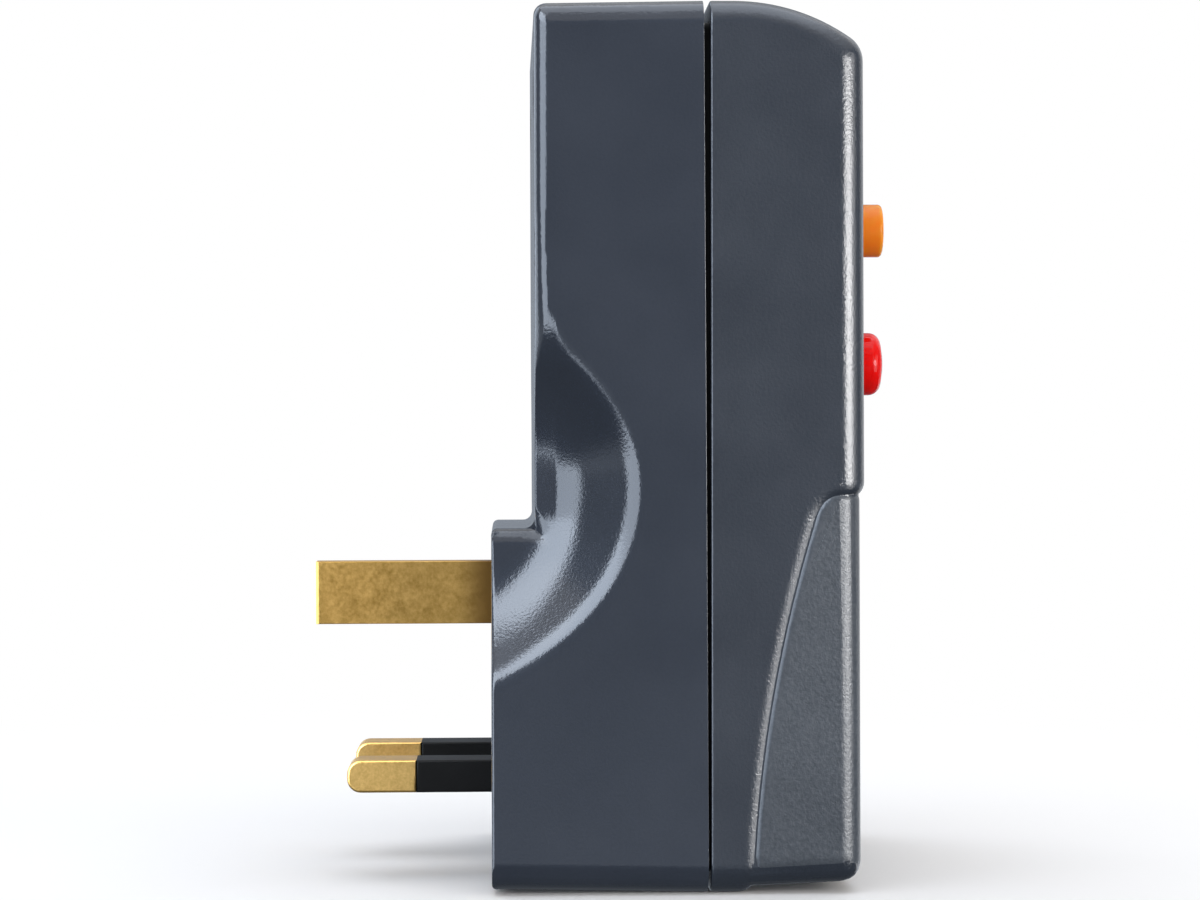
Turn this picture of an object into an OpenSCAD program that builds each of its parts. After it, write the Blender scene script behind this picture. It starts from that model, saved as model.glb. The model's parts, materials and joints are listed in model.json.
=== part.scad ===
// Plug-through residual-current adapter, in millimetres.
// +Z is up, the socket and buttons face -Y and the plug pins point along +Y.
// The origin is on the plug face, midway between the earth pin and the line of the power pins.

/* [Casing] */
// Width of the casing across its two sides
body_w = 60; // [58:1:68]
// Height of the casing from its base to its top
body_h = 107; // [105:1:118]
// Depth from the plug face to the front of the upper panel
body_d = 44.9; // [44:0.1:47]
// How far the base lies below the line of the power pins
base_drop = 12.7; // [12.2:0.1:15]
// How far the upper back is set forward of the plug face
back_setback = 5.3; // [4.5:0.1:6]
// Height of the plug block's top above the earth pin's axis
plug_block_rise = 8.7; // [8:0.1:11]
// Depth from the plug face to the parting between the two halves
parting_d = 26; // [25.5:0.1:26.8]
// Width of the shadow gap at the parting
parting_gap = 0.7; // [0.3:0.1:1]
// Wall thickness of both halves
wall = 2.4; // [2:0.1:2.6]
// Rounding of the long edges along the top and the base
side_edge_r = 2.5; // [1.5:0.1:3.5]
// Rounding of the front edges
front_edge_r = 3; // [2:0.1:4]
// Rounding of the upright edges of the upper back
back_edge_r = 2; // [1:0.1:3]
// Radius of the curve that takes the top down to the front
crown_r = 24.5; // [22:0.5:40]
// How far the flat top runs forward of the parting
crown_run = 3; // [1:0.1:5]

/* [Grip recesses] */
// Radius of the round finger recess in each side
grip_r = 26; // [22:0.5:27]
// Slant of the recess wall away from square to the side, in degrees
grip_tilt = 42; // [36:1:48]
// Depth of the recess floor below the side
grip_depth = 8.5; // [6:0.1:9]
// Depth from the plug face to the front of the recess
grip_reach = 17.8; // [16:0.1:19]
// Height of the recess's centre above the earth pin's axis
grip_rise = 13.4; // [11:0.1:15]

/* [Plug pins] */
// Distance from the earth pin's axis down to the line of the power pins
pin_pitch = 22.2; // [21.8:0.1:23]
// Distance between the axes of the two power pins
pin_spread = 22.2; // [21.5:0.1:23]
// Width of a power pin from side to side
power_pin_w = 6.35; // [6:0.05:6.6]
// Thickness of a power pin from top to bottom
power_pin_h = 4; // [3.6:0.1:4.4]
// Length of a power pin from the plug face to its tip
power_pin_len = 18; // [17:0.1:18.5]
// Width of the earth pin from side to side
earth_pin_w = 4; // [3.6:0.1:4.4]
// Height of the earth pin from top to bottom
earth_pin_h = 8; // [7:0.1:8.4]
// Length of the earth pin from the plug face to its tip
earth_pin_len = 22.5; // [21.5:0.1:23]
// Rounding of a power pin's tip
pin_tip_r = 1.4; // [0.6:0.1:1.8]
// Chamfer of the earth pin's tip
earth_tip_cut = 0.4; // [0.2:0.1:1]
// Length of a sleeve beyond the plug face
sleeve_len = 9.4; // [8:0.1:10]
// Thickness of a sleeve
sleeve_t = 0.5; // [0.4:0.05:0.8]
// How far a pin's shoulder stands out round the pin
shoulder_rim = 1.2; // [0.8:0.1:1.5]
// Thickness of a pin's shoulder
shoulder_t = 2; // [1.5:0.1:2.4]
// Clearance round a pin in its slot
pin_fit = 0.05; // [0.02:0.01:0.1]
// Thickness of the plate that holds the shoulders down
retainer_t = 2.2; // [1.8:0.1:2.6]
// How far the pin tails stand out of that plate
tail_proud = 1.4; // [1:0.1:1.6]

/* [Socket outlet] */
// Height of the socket block's top above the earth pin's axis
socket_block_rise = 12.4; // [12:0.1:13.2]
// How far the socket block is stepped in from the cover round it
panel_step = 0.7; // [0.4:0.1:1]
// Thickness of the socket face
socket_wall = 3; // [2.6:0.1:3.4]
// Depth from the parting to the socket block's edge at the base
sleeve_foot = 5.6; // [5:0.1:7]
// How much further forward that edge lies at its top
sleeve_lean = 6.5; // [5:0.1:7]
// Rounding where that edge turns towards the front
sleeve_turn = 3.5; // [2:0.1:4]
// Width of a power slot
power_slot_w = 7.2; // [7:0.1:7.6]
// Height of a power slot
power_slot_h = 4.8; // [4.6:0.1:5.2]
// Width of the earth slot
earth_slot_w = 4.8; // [4.6:0.1:5.2]
// Height of the earth slot
earth_slot_h = 8.8; // [8.6:0.1:9.2]
// Thickness of the shutter
shutter_t = 2.2; // [1.8:0.1:2.4]
// How far the shutter slides down
shutter_travel = 6; // [5.6:0.1:6.2]
// Thickness of the contact clips
clip_t = 0.7; // [0.5:0.05:0.8]

/* [Buttons] */
// Diameter of the reset button
reset_d = 8.05; // [7:0.05:9]
// Diameter of the test button
test_d = 6.8; // [6:0.1:8]
// Height of the reset button above the earth pin's axis
reset_rise = 29.1; // [29:0.1:31]
// Distance from the reset button up to the test button
button_pitch = 17.2; // [16.8:0.1:19]
// How far both buttons stand out of the front
button_proud = 5.5; // [4:0.1:6]
// Travel of the reset button
reset_travel = 3; // [2.5:0.1:3.2]
// Travel of the test button
test_travel = 2; // [1.5:0.1:2.2]
// Height of the reset button's dome
reset_dome = 1.7; // [1:0.1:2.5]
// Rounding of the test button's end
test_end_r = 0.8; // [0.4:0.1:1.4]
// Clearance round a button in its hole
button_fit = 0.25; // [0.2:0.05:0.4]

/* [Mechanism] */
// Thickness of the circuit board
board_t = 1.6; // [1.2:0.1:2]
// Thickness of the mechanism frame's base
frame_t = 1.6; // [1.4:0.1:2]
// Length of the holding coil's bobbin
coil_len = 9; // [8:0.1:9.4]
// Radius of the bobbin's flanges
coil_r = 8; // [7:0.1:8.4]
// Thickness of the armature
armature_t = 1.6; // [1.4:0.1:2]
// Thickness of the moving contact bridge
bridge_t = 4; // [3.5:0.1:4.2]
// Outer radius of the current transformer ring
ring_r = 9.4; // [9:0.1:9.8]
// Radius of the current transformer's hole
ring_hole_r = 4.5; // [4.2:0.1:5]
// Height of the current transformer ring
ring_h = 8.2; // [7.5:0.1:8.6]
// Width of the supply and load bars
bar_w = 2; // [1.6:0.1:2.2]
// Depth of the supply bars, front to back
bar_t = 3; // [2.4:0.1:3.2]
// Radius of the casing screw towers
tower_r = 4; // [3.8:0.1:4.2]

/* [Hidden] */
$fn = 48;

// Side of the live pole and of the neutral pole
live = 1;
neutral = -1;
sides = [neutral, live];

// Length that a cut runs past the solid it cuts
past = 1;
// Steps in a rounded corner of an outline
arc_steps = 8;
// Steps in one turn of a coil spring, and the sides of its wire and of a braid
turn_steps = 8;
wire_sides = 6;
braid_sides = 8;
// Smallest rounding of an outline that is set in
least_r = 0.3;

// Heights of the pins, the casing and the buttons
row_z = -pin_pitch / 2;
earth_z = pin_pitch / 2;
base_z = row_z - base_drop;
top_z = base_z + body_h;
plug_top_z = earth_z + plug_block_rise;
step_z = earth_z + socket_block_rise;
reset_z = earth_z + reset_rise;
test_z = reset_z + button_pitch;
pin_x = pin_spread / 2;

// Depths of the casing's faces
back_y = -back_setback;
back_in_y = back_y - wall;
rear_rim_y = -(parting_d - parting_gap / 2);
cover_rim_y = -(parting_d + parting_gap / 2);
front_y = -body_d;
front_in_y = front_y + wall;
socket_y = front_y + panel_step;
socket_in_y = socket_y + socket_wall;

// Share of the lean that the socket block's edge has at its middle
sleeve_bow = 0.1;

// Centre of a grip recess on the side face
grip_y = -grip_reach + grip_r / cos(grip_tilt);
grip_z = earth_z + grip_rise;

// Screw towers of the rear casing and the cover's bosses that meet them
tower_gap = 2;
tower_fit = 0.1;
boss_trim = 0.5;
boss_r = tower_r - boss_trim;
tower_x = max(
    body_w / 2 - wall - tower_r - tower_gap,
    pin_x + power_pin_w / 2 + shoulder_rim + tower_r + tower_fit
);
tower_drop = 10.5;
tower_low_z = base_z + wall + tower_r + tower_gap;
tower_high_z = top_z - tower_drop;
tower_places = [for (x = [-tower_x, tower_x], z = [tower_low_z, tower_high_z]) [x, z]];
screw_r = 1.45;
screw_fit = 0.1;
screw_head_r = 2.9;
screw_head_t = 2.4;
screw_grip = 8;
screw_seat_y = -parting_d + screw_grip;
screw_len = 16;

// Locating lip of the cover
lip_gap = 0.15;
lip_t = 1.2;
lip_depth = 2.2;
lip_root = 2.5;

// Pin shoulders, tails and the plate that holds them
shoulder_y = -wall;
retainer_y = shoulder_y - shoulder_t;
retainer_in_y = retainer_y - retainer_t;
tail_y = retainer_in_y - tail_proud;
retainer_rim = 2.4;
retainer_fit = 0.15;
retainer_hw = min(pin_x + power_pin_w / 2 + retainer_rim, tower_x - tower_r - retainer_fit);
retainer_screw_x = 6.5;
retainer_boss_r = 2.6;
short_screw_r = 1;
short_head_r = 2;
short_head_t = 1.6;
short_screw_floor = 0.8;
strap_h = 4;

// Shutter, contact carrier and contact clips
slide_gap = 0.2;
shutter_front_y = socket_in_y + slide_gap;
shutter_back_y = shutter_front_y + shutter_t;
carrier_y = shutter_back_y + slide_gap;
carrier_t = 2;
carrier_in_y = carrier_y + carrier_t;
carrier_side = 6;
carrier_foot = 8.5;
carrier_head = 8.4;
carrier_hw = pin_x + carrier_side;
carrier_low_z = row_z - carrier_foot;
carrier_high_z = earth_z + carrier_head;
carrier_screw_x = 13.5;
carrier_screw_rise = 4;
carrier_screw_z = earth_z + carrier_screw_rise;
carrier_post_r = 2.6;
pin_clear = 0.05;
cell_fit = 0.2;
cell_wall = 1.4;
tip_room = 0.6;
clip_w = 6;
clip_h = 7;
power_web_y = socket_y + power_pin_len + tip_room;
earth_web_y = socket_y + earth_pin_len + tip_room;
earth_mouth_y = shutter_front_y + shutter_travel + tip_room;
tab_rise = 7.5;
tab_top_z = row_z + tab_rise;
tab_h = 3;
shutter_lap = 0.8;
shutter_side = 1.3;
shutter_stem_hw = 4;
shutter_spring_r = 1.2;
shutter_wire_r = 0.2;
shutter_turns = 9;
shutter_notch = 8.3;
ramp_gap = 0.3;
ramp_foot = 1.5;
ramp_top_z = earth_z - earth_pin_h / 2 - ramp_gap + shutter_travel;
ramp_low_z = ramp_top_z - shutter_travel;
shutter_top_z = row_z + power_slot_h / 2 + shutter_lap;
shutter_low_z = row_z - power_slot_h / 2 - shutter_lap;

// Holding coil, moving bridge and contacts, from the back forward
frame_y = back_in_y - frame_t;
pole_proud = 0.3;
pole_y = frame_y - coil_len - pole_proud;
hold_gap = 0.05;
bridge_in_y = pole_y - hold_gap - reset_travel - armature_t;
bridge_y = bridge_in_y - bridge_t;
blade_t = 0.6;
tip_r = 2;
fixed_tip_t = 1;
strip_t = 0.8;
strip_front_y = pole_y + fixed_tip_t;
strip_back_y = strip_front_y + strip_t;
strip_h = 6;
contact_x = 12;
contact_rise = 10.8;
contact_z = reset_z + contact_rise;
arm_w = 5;
blade_h = 8;
beam_hw = 15;
beam_h = 8;
guide_x = 11.5;
guide_r = 1.3;
guide_fit = 0.1;
opening_spring_r = 2.5;
opening_wire_r = 0.25;
opening_turns = 7;
core_r = 2.5;
bobbin_wall = 0.8;
armature_r = 5;

// Current transformer and the supply bars that pass through it
ring_gap = 0.3;
ring_y = back_in_y - ring_gap - ring_r;
bar_gap = 1.4;
bar_x = 2.2;
riser_out = 4.5;
riser_x = contact_x + riser_out;
link_z = earth_z + strap_h / 2 + bar_gap;
ring_low_z = link_z + bar_w + bar_gap / 2;
ring_top_z = ring_low_z + ring_h;
shelf_t = 1.5;
link_gap = 0.5;
upper_link_z = ring_top_z + shelf_t + link_gap;
frame_side = 1.5;
frame_fit = 0.3;
frame_hw = min(riser_x + frame_side, body_w / 2 - wall - grip_depth - frame_fit);
frame_top_z = contact_z + strip_h;

// Load bars and the braids that feed them
load_inset = 5.6;
load_x = body_w / 2 - wall - load_inset;
load_y = power_web_y + clip_t;
load_gap = 0.5;
load_high_z = tower_high_z - tower_r - load_gap;
braid_r = 1.1;
braid_straight = 1;
braid_arch = 6;
braid_z = contact_z + blade_h / 2;
braid_rise = min(braid_arch, load_high_z - bar_w / 2 - braid_z);
braid_end_x = load_x - bar_w / 2;

// Circuit board, its posts and the buttons
board_clear = 2.75;
load_clear = 2;
board_back_y = min(bridge_y - board_clear, load_y - load_clear);
board_y = board_back_y - board_t;
board_margin = 1.6;
board_hw = body_w / 2 - wall - board_margin;
board_drop = 13.7;
board_low_z = reset_z - board_drop;
board_top_z = tower_high_z - tower_r - tower_gap;
tongue_hw = tower_x - tower_r - tower_gap;
tongue_rise = 5.5;
board_edge = 4.2;
board_post_r = 2.8;
board_post_x = board_hw - board_edge;
board_post_heights = [board_low_z + board_edge, board_top_z - board_edge];
board_places = [for (x = [-board_post_x, board_post_x], z = board_post_heights) [x, z]];
button_gap = 0.2;
flange_y = front_in_y + button_gap;
flange_t = 1.2;
flange_rim = 1.3;
stem_gap = 0.1;
reset_stem_r = 2;
stem_fit = 0.4;
reset_stem_y = bridge_y - stem_gap;
reset_spring_r = 3.4;
reset_wire_r = 0.3;
reset_turns = 5;
test_stem_r = 1.5;
leaf_t = 0.4;
leaf_w = 5;
stud_h = 1.4;
stud_gap = 0.1;
leaf_lift = test_travel + stud_h + stud_gap;
leaf_foot = 3;
leaf_reach = 8.5;
leaf_past = 5;
leaf_y = board_y - leaf_lift;
stud_r = 1.25;
stud_rise = 3.5;
stud_z = test_z + stud_rise;
test_stem_y = leaf_y - leaf_t - stem_gap;

// Parts on the circuit board, placed from its edges and from the buttons
part_clear = 1.9;
part_room = board_y - front_in_y - part_clear;
chip_inset = 12;
chip_rise = 3.5;
chip_size = [6.4, 9.6];
chip_lift = 0.5;
chip_t = 3.2;
chip_lead_w = 0.6;
chip_lead_out = 0.8;
chip_lead_pitch = 2.4;
smoothing_inset = 12;
smoothing_drop = 4;
smoothing_r = 4;
film_inset = 14;
film_drop = 6;
film_size = [11, 6];
varistor_inset = 13;
varistor_drop = 8;
varistor_t = 3.5;
varistor_stand = 1;
varistor_r = (part_room - varistor_stand) / 2;
varistor_lead_r = 0.4;
thyristor_inset = 18;
thyristor_rise = 1;
thyristor_r = 2.4;
thyristor_stand = 1.5;
thyristor_h = min(2 * thyristor_r, part_room - thyristor_stand);
thyristor_lead_r = 0.3;
thyristor_lead_pitch = 1.3;
lead_run = 1.5;
resistor_inset = 14;
resistor_drop = 3;
resistor_pitch = 5;
resistor_r = 1.8;
resistor_len = 8;
resistor_lead_r = 0.35;
resistor_count = 2;
diode_inset = 11.2;
diode_drop = 7.4;
diode_pitch = 2.9;
diode_r = 1.1;
diode_len = 4;
diode_lead_r = 0.3;
diode_count = 4;

// Colours of the materials
casing_grey = [0.24, 0.27, 0.31];
button_red = [0.85, 0.10, 0.08];
button_orange = [0.96, 0.45, 0.12];
brass = [0.72, 0.58, 0.32];
steel = [0.62, 0.63, 0.65];
copper = [0.72, 0.42, 0.26];
black_plastic = [0.08, 0.08, 0.09];
white_plastic = [0.86, 0.86, 0.84];
board_green = [0.10, 0.36, 0.20];
film_yellow = [0.75, 0.62, 0.20];
varistor_blue = [0.20, 0.30, 0.55];
resistor_tan = [0.72, 0.66, 0.50];

function unit(v) = v / norm(v);

function arc_points(centre, radius, from, to) = [
    for (i = [0 : arc_steps])
        let (a = from + (to - from) * i / arc_steps) centre + radius * [cos(a), sin(a)]
];

function bezier(a, b, c, steps) = [
    for (i = [0 : steps])
        let (t = i / steps) a * (1 - t) * (1 - t) + b * 2 * t * (1 - t) + c * t * t
];

function helix(mean_r, wire_r, length, turns) = [
    for (i = [0 : turns * turn_steps])
        let (a = 360 * i / turn_steps, rise = (length - 2 * wire_r) * i / (turns * turn_steps))
            [mean_r * cos(a), mean_r * sin(a), wire_r + rise]
];

// Box between two opposite corners
module box(low, high) {
    translate(low) cube(high - low);
}

// Box that is centred across X and Z at a place and runs between two depths
module block(place, size, y_from, y_to) {
    translate([place[0] - size[0] / 2, min(y_from, y_to), place[1] - size[1] / 2])
        cube([size[0], abs(y_to - y_from), size[1]]);
}

// Round rod along Y between two depths
module rod(place, radius, y_from, y_to) {
    translate([place[0], max(y_from, y_to), place[1]])
        rotate([90, 0, 0]) cylinder(r = radius, h = abs(y_to - y_from));
}

// Solid of revolution about a line along -Y, from [radius, distance in front of the plug face] points
module turned(place, points) {
    translate([place[0], 0, place[1]]) rotate([90, 0, 0]) rotate_extrude() polygon(points);
}

// Outline in the [Y, Z] plane, extruded across X
module across(width, points) {
    translate([-width / 2, 0, 0]) rotate([90, 0, 90]) linear_extrude(width) polygon(points);
}

// One tube of triangles along a path
module tube(path, radius, tube_sides, up) {
    last = len(path) - 1;
    rings = [
        for (i = [0 : last])
            let (
                t = unit(path[min(i + 1, last)] - path[max(i - 1, 0)]),
                u = unit(cross(up, t)),
                v = cross(t, u)
            )
                for (k = [0 : tube_sides - 1])
                    path[i] + radius * (cos(360 * k / tube_sides) * u + sin(360 * k / tube_sides) * v)
    ];
    skin = [
        for (i = [0 : last - 1], k = [0 : tube_sides - 1])
            let (a = i * tube_sides + k, b = i * tube_sides + (k + 1) % tube_sides)
                each [[a, b + tube_sides, b], [a, a + tube_sides, b + tube_sides]]
    ];
    caps = [
        for (k = [1 : tube_sides - 2])
            each [[0, k, k + 1], [last * tube_sides, last * tube_sides + k + 1, last * tube_sides + k]]
    ];
    polyhedron(points = rings, faces = concat(skin, caps));
}

// Coil spring along -Y that starts at a depth
module coil_spring(place, outer_r, wire_r, y_from, length, turns) {
    translate([place[0], y_from, place[1]]) rotate([90, 0, 0])
        tube(helix(outer_r - wire_r, wire_r, length, turns), wire_r, wire_sides, [0, 0, 1]);
}

// Screw along Y with its head's seat at seat_y and its point on the side that way gives
module screw(place, shank_r, head_r, head_t, seat_y, length, way) {
    rod(place, shank_r, seat_y, seat_y + way * length);
    rod(place, head_r, seat_y, seat_y - way * head_t);
}

// Outline of the casing from the front, set in by a distance, between two depths
module front_prism(inset, y_from, y_to) {
    hw = body_w / 2 - inset;
    r = max(side_edge_r - inset, least_r);
    low = base_z + inset + r;
    high = top_z - inset - r;
    outline = concat(
        arc_points([hw - r, high], r, 0, 90),
        arc_points([r - hw, high], r, 90, 180),
        arc_points([r - hw, low], r, 180, 270),
        arc_points([hw - r, low], r, 270, 360)
    );
    translate([0, y_from, 0]) rotate([90, 0, 0]) linear_extrude(y_from - y_to) polygon(outline);
}

// Grip recess on one side, grown by a distance
module grip_recess(side, grow) {
    intersection() {
        translate([side * body_w / 2, grip_y, grip_z])
            rotate([0, 0, -side * grip_tilt])
                rotate([0, 90, 0])
                    cylinder(r = grip_r + grow, h = 2 * body_h, center = true);
        translate([side * (body_w / 2 - grip_depth - grow + body_w / 2), -body_d, grip_z])
            cube([body_w, 4 * body_d, body_h], center = true);
    }
}

// Rear half as a solid, set in by a distance, open beyond its rim by run
module rear_form(inset, run) {
    hw = body_w / 2 - inset;
    r = max(back_edge_r - inset, least_r);
    upper_y = back_y - inset;
    rim = rear_rim_y - run;
    upper = concat(
        [[hw, rim - past], [hw, upper_y - r]],
        arc_points([hw - r, upper_y - r], r, 0, 90),
        arc_points([r - hw, upper_y - r], r, 90, 180),
        [[-hw, rim - past]]
    );
    difference() {
        intersection() {
            front_prism(inset, -inset, rim);
            union() {
                translate([0, 0, base_z]) linear_extrude(body_h) polygon(upper);
                box([-body_w, rim - past, base_z - past], [body_w, past, plug_top_z - inset]);
            }
        }
        for (side = sides) {
            grip_recess(side, inset);
        }
    }
}

module rear_casing() {
    power_slot = [power_pin_w, power_pin_h] + [2, 2] * pin_fit;
    earth_slot = [earth_pin_w, earth_pin_h] + [2, 2] * pin_fit;
    color(casing_grey)
    difference() {
        union() {
            difference() {
                rear_form(0, 0);
                rear_form(wall, past);
            }
            for (place = tower_places) {
                start = place[1] > plug_top_z ? back_y - wall / 2 : -wall / 2;
                rod(place, tower_r, start, -parting_d);
            }
            for (side = sides) {
                rod([side * retainer_screw_x, 0], retainer_boss_r, -wall / 2, retainer_y);
            }
        }
        for (place = tower_places) {
            rod(place, screw_head_r + screw_fit, past, screw_seat_y);
            rod(place, screw_r + screw_fit, past, -parting_d - past);
        }
        for (side = sides) {
            block([side * pin_x, row_z], power_slot, past, shoulder_y - past);
            rod(
                [side * retainer_screw_x, 0], short_screw_r + screw_fit,
                -short_screw_floor, retainer_y - past
            );
        }
        block([0, earth_z], earth_slot, past, shoulder_y - past);
    }
}

// Front half as a solid, set in by a distance, open beyond its rim by run
module cover_form(inset, run) {
    hw = body_w / 2 - inset;
    r = max(front_edge_r - inset, least_r);
    foot_r = max(side_edge_r - inset, least_r);
    face = front_y + inset;
    rim = cover_rim_y + run;
    crown = [cover_rim_y - crown_run, top_z - crown_r];
    brow_y = face + r;
    brow_z = crown[1] + sqrt(pow(crown_r - inset - r, 2) - pow(brow_y - crown[0], 2));
    brow_angle = atan2(brow_z - crown[1], brow_y - crown[0]);
    profile = concat(
        [[rim, base_z + inset], [rim, top_z - inset]],
        arc_points(crown, crown_r - inset, 90, brow_angle),
        arc_points([brow_y, brow_z], r, brow_angle, 180),
        arc_points([face + foot_r, base_z + inset + foot_r], foot_r, 180, 270)
    );
    plan = concat(
        [[-hw, rim + past]],
        arc_points([r - hw, face + r], r, 180, 270),
        arc_points([hw - r, face + r], r, 270, 360),
        [[hw, rim + past]]
    );
    intersection() {
        front_prism(inset, rim, front_y - past);
        across(2 * body_w, profile);
        translate([0, 0, base_z - past]) linear_extrude(body_h + 2 * past) polygon(plan);
    }
}

// Region in front of the edge that runs round the socket block
module socket_block_region() {
    foot_y = -parting_d - sleeve_foot;
    turn_z = step_z - sleeve_turn;
    turn_y = foot_y - sleeve_lean;
    mid = [foot_y - sleeve_lean * sleeve_bow, (base_z + turn_z) / 2];
    slope = (turn_y - mid[0]) / (turn_z - mid[1]);
    corner = [turn_y + slope * sleeve_turn, step_z];
    end_y = corner[0] - sleeve_turn;
    ahead_y = min(front_y, end_y) - past;
    edge = concat(
        bezier([foot_y, base_z], mid, [turn_y, turn_z], arc_steps),
        bezier([turn_y, turn_z], corner, [end_y, step_z], arc_steps)
    );
    across(
        2 * body_w,
        concat([[ahead_y, base_z - past], [foot_y, base_z - past]], edge, [[ahead_y, step_z]])
    );
}

// Locating lip and its root inside the cover's rim
module cover_lip() {
    inner = wall + lip_gap + lip_t;
    difference() {
        union() {
            front_prism(wall + lip_gap, rear_rim_y + lip_depth, cover_rim_y - lip_root);
            front_prism(wall / 2, cover_rim_y, cover_rim_y - lip_root);
        }
        front_prism(inner, past, cover_rim_y - lip_root - past);
    }
}

module front_cover() {
    color(casing_grey)
    difference() {
        union() {
            difference() {
                cover_form(0, 0);
                cover_form(wall, past);
                difference() {
                    socket_block_region();
                    cover_form(panel_step, past);
                }
            }
            intersection() {
                cover_form(wall / 2, 0);
                box([-body_w, socket_y + past / 2, base_z], [body_w, socket_in_y, step_z + wall]);
            }
            cover_lip();
            intersection() {
                cover_form(wall / 2, past);
                union() {
                    for (place = tower_places) {
                        rod(place, boss_r, -parting_d, front_y);
                    }
                    for (place = board_places) {
                        rod(place, board_post_r, board_y, front_y);
                    }
                    for (side = sides) {
                        rod([side * carrier_screw_x, carrier_screw_z], carrier_post_r, carrier_y, front_y);
                    }
                }
            }
        }
        for (place = tower_places) {
            rod(place, screw_r + screw_fit, past, screw_seat_y - screw_len - past);
        }
        for (place = board_places) {
            rod(place, short_screw_r + screw_fit, past, front_in_y - short_screw_floor);
        }
        for (side = sides) {
            rod(
                [side * carrier_screw_x, carrier_screw_z], short_screw_r + screw_fit,
                past, socket_y + short_screw_floor
            );
            block([side * pin_x, row_z], [power_slot_w, power_slot_h], front_y - past, socket_in_y + past);
        }
        block([0, earth_z], [earth_slot_w, earth_slot_h], front_y - past, socket_in_y + past);
        rod([0, reset_z], reset_d / 2 + button_fit, front_y - past, front_in_y + past);
        rod([0, test_z], test_d / 2 + button_fit, front_y - past, front_in_y + past);
    }
}

module casing_screws() {
    color(steel)
    for (place = tower_places) {
        screw(place, screw_r, screw_head_r, screw_head_t, screw_seat_y, screw_len, -1);
    }
}

// Waist of a power pin inside its sleeve
waist = [power_pin_w, power_pin_h] - [2, 2] * sleeve_t;

module power_pin(side) {
    place = [side * pin_x, row_z];
    half = power_pin_h / 2;
    tip = concat(
        [[sleeve_len, -half]],
        arc_points([power_pin_len - pin_tip_r, pin_tip_r - half], pin_tip_r, 270, 360),
        arc_points([power_pin_len - pin_tip_r, half - pin_tip_r], pin_tip_r, 0, 90),
        [[sleeve_len, half]]
    );
    color(brass) {
        translate([place[0], 0, place[1]]) across(power_pin_w, tip);
        block(place, waist, sleeve_len, tail_y);
        block(place, [power_pin_w, power_pin_h] + [2, 2] * shoulder_rim, shoulder_y, retainer_y);
    }
}

module pin_sleeve(side) {
    place = [side * pin_x, row_z];
    color(black_plastic)
    difference() {
        block(place, [power_pin_w, power_pin_h], sleeve_len, shoulder_y);
        block(place, waist, sleeve_len + past, shoulder_y - past);
    }
}

module earth_pin() {
    half = earth_pin_h / 2;
    tip = [
        [shoulder_y, -half], [earth_pin_len - earth_tip_cut, -half], [earth_pin_len, earth_tip_cut - half],
        [earth_pin_len, half - earth_tip_cut], [earth_pin_len - earth_tip_cut, half], [shoulder_y, half]
    ];
    color(brass) {
        translate([0, 0, earth_z]) across(earth_pin_w, tip);
        block([0, earth_z], [earth_pin_w, earth_pin_h] + [2, 2] * shoulder_rim, shoulder_y, retainer_y);
        block([0, earth_z], [earth_pin_w, strap_h], retainer_y, tail_y);
    }
}

module pin_retainer() {
    color(white_plastic)
    difference() {
        box(
            [-retainer_hw, retainer_in_y, row_z - power_pin_h / 2 - retainer_rim],
            [retainer_hw, retainer_y, earth_z + strap_h / 2 + retainer_rim]
        );
        for (side = sides) {
            block([side * pin_x, row_z], waist + [2, 2] * retainer_fit, past, tail_y);
            rod([side * retainer_screw_x, 0], short_screw_r + screw_fit, past, tail_y);
        }
        block([0, earth_z], [earth_pin_w, strap_h] + [2, 2] * retainer_fit, past, tail_y);
    }
}

module pin_retainer_screws() {
    length = retainer_t + shoulder_t + wall - 2 * short_screw_floor;
    color(steel)
    for (side = sides) {
        screw(
            [side * retainer_screw_x, 0],
            short_screw_r, short_head_r, short_head_t, retainer_in_y, length, 1
        );
    }
}

module earth_strap() {
    color(brass) block([0, earth_z], [earth_pin_w, strap_h], tail_y, earth_web_y + clip_t);
}

module socket_carrier() {
    power_room = [power_slot_w, power_pin_h + 2 * (pin_clear + clip_t + cell_fit)];
    earth_room = [earth_pin_w + 2 * (pin_clear + clip_t + cell_fit), earth_slot_h];
    color(white_plastic)
    difference() {
        union() {
            box([-carrier_hw, carrier_y, carrier_low_z], [carrier_hw, carrier_in_y, carrier_high_z]);
            for (side = sides) {
                block(
                    [side * pin_x, row_z], power_room + [2, 2] * cell_wall,
                    carrier_y, power_web_y - tip_room
                );
            }
            block([0, earth_z], earth_room + [2, 2] * cell_wall, carrier_y, earth_web_y - tip_room);
        }
        for (side = sides) {
            block([side * pin_x, row_z], power_room, carrier_y - past, power_web_y);
            rod([side * carrier_screw_x, carrier_screw_z], short_screw_r + screw_fit, past, front_y);
        }
        block([0, earth_z], earth_room, carrier_y - past, earth_web_y);
        box(
            [-earth_slot_w / 2, carrier_y - past, ramp_low_z - ramp_foot - shutter_travel - ramp_gap],
            [earth_slot_w / 2, earth_mouth_y - ramp_gap, earth_z]
        );
    }
}

module socket_carrier_screws() {
    length = carrier_in_y - socket_y - 2 * short_screw_floor;
    color(steel)
    for (side = sides) {
        screw(
            [side * carrier_screw_x, carrier_screw_z],
            short_screw_r, short_head_r, short_head_t, carrier_in_y, length, -1
        );
    }
}

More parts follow.
